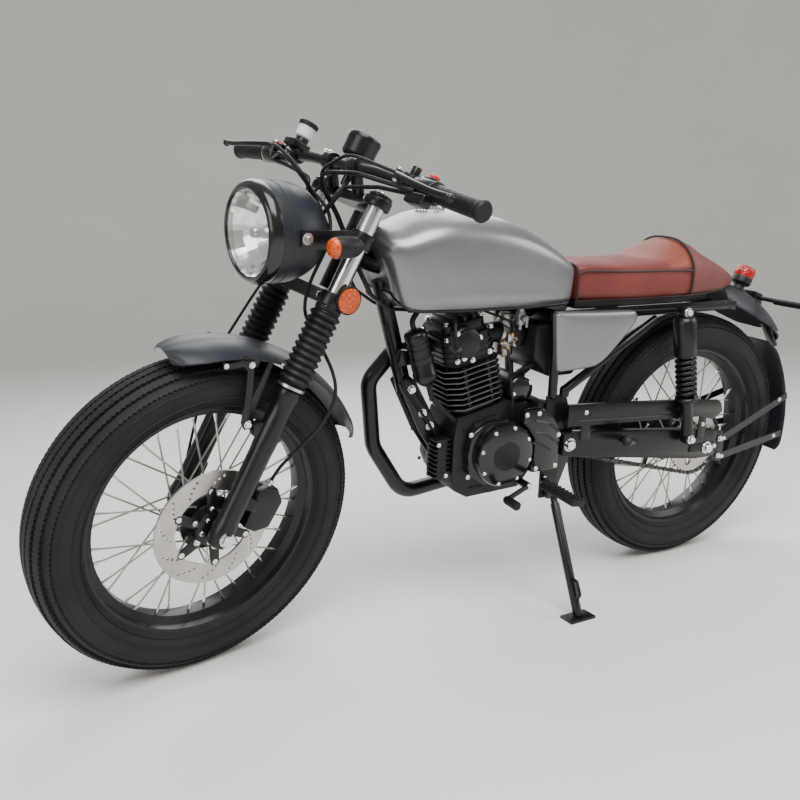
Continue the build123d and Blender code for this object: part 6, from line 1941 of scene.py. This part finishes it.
@dataclass
class FootFittings(Assembly):
    """Pegs, gear pedal and brake pedal."""

    def build(self) -> None:
        """Foot controls of both sides."""
        dark, rubber, bright = [], [], []
        tilt = Matrix.Rotation(math.radians(-9), 4, "Y")
        for side in SIDES:
            dark += [rod((506, side * 90.5, 312), (506, side * 106, 312), 9, 24, 1),
                     rod((506, side * 104, 312), (560, side * 180, 338), 9, 20, 1),
                     rod((292, side * 119, 396), (292, side * 150, 402), 9, 20, 1),
                     rod((292, side * 150, 402), (330, side * 168, 412), 12, 20, 1),
                     rod((576, side * (64.5 if side > 0 else 104.5), 322), (576, side * 130, 322), 9, 20, 1),
                     rod((576, side * 126, 322), (644, side * 142, 306), 6, 14)]
            rubber.append(block((34, 114, 14), (565, side * 234, 342), 3, tilt))
            for index in range(9):
                rib = Matrix.Translation((565, side * (184 + index * 12.5), 342)) @ tilt
                rubber.append(moved(block((32, 5, 4), (0, 0, 8), 1), rib))
            rubber.append(rod((645, side * 140, 306), (648, side * 186, 308), 9.5, 20, 2))
            for index in range(5):
                spot = Vector((646, side * (148 + index * 8), 307))
                rubber.append(rod(spot, spot + Vector((0.2, side * 3.6, 0.2)), 10.6, 20))
            bright += [bolt((576, side * 130, 322), (0, side, 0), 6, 5), bolt((506, side * 97, 323), (0, 0, 1), 4, 3)]
        self.dress(dark, "peg_irons", Finish.SATIN_BLACK, ["foot_controls"])
        self.dress(rubber, "peg_rubbers", Finish.GAITER)
        self.dress(bright, "peg_bolts", Finish.CHROME)


# Surroundings and camera

@dataclass
class Studio:
    """Pale floor with a rising backdrop, soft lights and the camera."""

    # Floor in millimetres: radius, height of its wall, radius of the bend between them
    floor_radius: float = 9000.0
    wall: float = 7000.0
    bend: float = 4000.0
    facets: int = 72
    # Place in metres, size in metres, power in watts, warmth
    lamps: Sequence[tuple[Colour, float, float, Colour]] = (
        ((0.6, 1.8, 3.6), 2.6, 215, (1.0, 0.99, 0.97)), ((3.2, 1.2, 1.7), 1.8, 42, (0.96, 0.98, 1.0)),
        ((-2.8, 1.6, 2.0), 1.8, 46, (1.0, 0.98, 0.95)), ((-0.8, -2.2, 2.8), 2.6, 90, (1.0, 1.0, 1.0)))
    aim: Colour = (0, 0, 0.5)
    sky: tuple[float, float, float, float] = (0.95, 0.97, 1.0, 1)
    sky_strength: float = 0.55
    # Camera: place in metres, then yaw, pitch and roll in degrees, focal length and sensor width in millimetres
    eye: Colour = (1.02638, 1.50074, 0.84547)
    angles: Colour = (-117.257, -10.340, -1.2345)
    focal_length: float = 36.75
    sensor: float = 36.0
    near: float = 0.05

    def floor(self) -> None:
        """Round floor that curves up into a wall on all sides."""
        corner = (0, self.floor_radius, 0)
        line = cornered([(0, 1, 0), corner, (0, self.floor_radius, self.wall)], [self.bend], 24)
        turns = [Matrix.Rotation(math.tau * i / self.facets, 4, "Z") for i in range(self.facets + 1)]
        rows = [[turn @ p for p in line] for turn in turns]
        sweep = lofted(rows, closed=False, capped=False)
        moved(sweep, Matrix.Scale(MILLIMETRE, 4))
        sweep.name = "studio_floor"
        paint = Paint("studio_floor")
        cloud = paint.noise(1.2, 5.0)
        paint.feed("Base Color", paint.blend(cloud, (0.72, 0.70, 0.665), (0.78, 0.76, 0.73)))
        paint.feed("Roughness", cloud * 0.2 + 0.55)
        paint.relief(paint.noise(160.0, 4.0), 0.0006, 0.4)
        sweep.data.materials.append(paint.material)
        pick([sweep])
        bpy.ops.object.shade_smooth()

    def lights(self) -> None:
        """Broad lamp from above left, a fill from the front and a rim from behind."""
        for index, (spot, size, power, colour) in enumerate(self.lamps):
            bpy.ops.object.light_add(type="AREA", location=spot)
            lamp = bpy.context.object
            lamp.name = f"soft_light_{index}"
            lamp.data.size = size
            lamp.data.energy = power
            lamp.data.color = colour
            lamp.rotation_euler = (Vector(self.aim) - Vector(spot)).to_track_quat("-Z", "Y").to_euler()
        world = bpy.data.worlds.new("soft_room")
        world.use_nodes = True
        background = world.node_tree.nodes["Background"]
        background.inputs["Color"].default_value = self.sky
        background.inputs["Strength"].default_value = self.sky_strength
        bpy.context.scene.world = world

    def camera(self) -> None:
        """Camera at the photograph's place and angle."""
        yaw, pitch, roll = (math.radians(v) for v in self.angles)
        look = Vector((math.cos(pitch) * math.cos(yaw), math.cos(pitch) * math.sin(yaw), math.sin(pitch)))
        right = look.cross(Vector((0, 0, 1))).normalized()
        above = right.cross(look)
        side = right * math.cos(roll) + above * math.sin(roll)
        top = above * math.cos(roll) - right * math.sin(roll)
        bpy.ops.object.camera_add()
        camera = bpy.context.object
        camera.matrix_world = Matrix.Translation(self.eye) @ Matrix(
            (side, top, -look)).transposed().to_4x4()
        camera.data.lens = self.focal_length
        camera.data.sensor_width = self.sensor
        camera.data.clip_start = self.near
        bpy.context.scene.camera = camera

    def build(self) -> None:
        """Floor, lights and camera."""
        self.floor()
        self.lights()
        self.camera()


FRONT_HUB = ((8, -52), (20, -52), (26, -46), (27, -37), (57, -36), (58, -33), (57, -30), (32, -28), (25, -18),
             (25, 18), (32, 28), (57, 30), (58, 33), (57, 36), (40, 37), (36, 44), (36, 55.5), (8, 55.5))
REAR_HUB = ((8, -46), (75, -46), (78, -43), (78, -11), (74, -8), (40, -7), (28, 2), (27, 20), (34, 28), (57, 30),
            (58, 33), (57, 36), (44, 38), (42, 61.5), (8, 61.5))

# Angle in degrees, half width, radius of the crest, drop of the edges
REAR_FENDER = ((100, 62, 424, 40), (104, 74, 426, 52), (112, 78, 427, 58), (122, 78, 427, 56), (132, 68, 428, 40),
               (137, 50, 429, 22), (140, 32, 430, 8))
HUGGER = ((136, 60, 363, 4), (140, 76, 364, 8), (150, 76, 364, 9), (178, 76, 364, 9), (188, 76, 364, 8),
          (192, 64, 363, 5))

CARRIED = (
    ("rear_brake_plate", Finish.ENGINE_BLACK, 1),
    ("pivot_plates", Finish.SATIN_BLACK, 1), ("seat_rails", Finish.SATIN_BLACK, 0),
    ("rear_struts", Finish.SATIN_BLACK, 0), ("backbone_frame", Finish.SATIN_BLACK, 0),
    ("down_tube", Finish.SATIN_BLACK, 0),
    ("seat_base", Finish.PLASTIC, 1),
    ("lamp_brackets", Finish.SATIN_BLACK, 0.8),
    ("brake_caliper", Finish.ENGINE_BLACK, 2), ("side_stand", Finish.SATIN_BLACK, 0.6),
    ("stand_bracket", Finish.SATIN_BLACK, 0.6),
)


def main() -> None:
    """Build every sub-assembly in order."""
    logging.basicConfig(level=logging.INFO, format="%(message)s")
    pieces = (
        Studio(),
        WireWheel(Place.FRONT_WHEEL, "front", FRONT_HUB),
        WireWheel(Place.REAR_WHEEL, "rear", REAR_HUB, (-27.0, 77.0)),
        BrakeDisc(Place.FRONT_WHEEL),
        RearDrive(Place.REAR_WHEEL),
        DriveChain(Place.FRAME),
        FuelTank(Place.FRAME),
        Saddle(Place.FRAME),
        SideCovers(Place.FRAME),
        Headlight(Place.LAMP),
        FrontSignals(Place.LAMP),
        ForkLegs(Place.FORK),
        FrontFender(Place.FORK),
        Engine(Place.FRAME),
        FrameFittings(Place.FRAME),
        Handlebar(Place.FORK),
        SteeringCables(Place.FRAME),
        RearShocks(Place.FRAME),
        ArchedSheet(Place.FRAME, REAR_FENDER, "rear_fender_sheet", Finish.MATT_BLACK, "rear_fender"),
        ArchedSheet(Place.FRAME, HUGGER, "hugger_sheet", Finish.MATT_BLACK, "rear_hugger", 3.0, 8.0),
        TailLamps(Place.FRAME),
        RearTrim(Place.FRAME),
        FootFittings(Place.FRAME),
        Carried(CARRIED),
    )
    for piece in pieces:
        LOG.info("building %s", type(piece).__name__)
        piece.build()
    fresh()


if __name__ == "__main__":
    main()
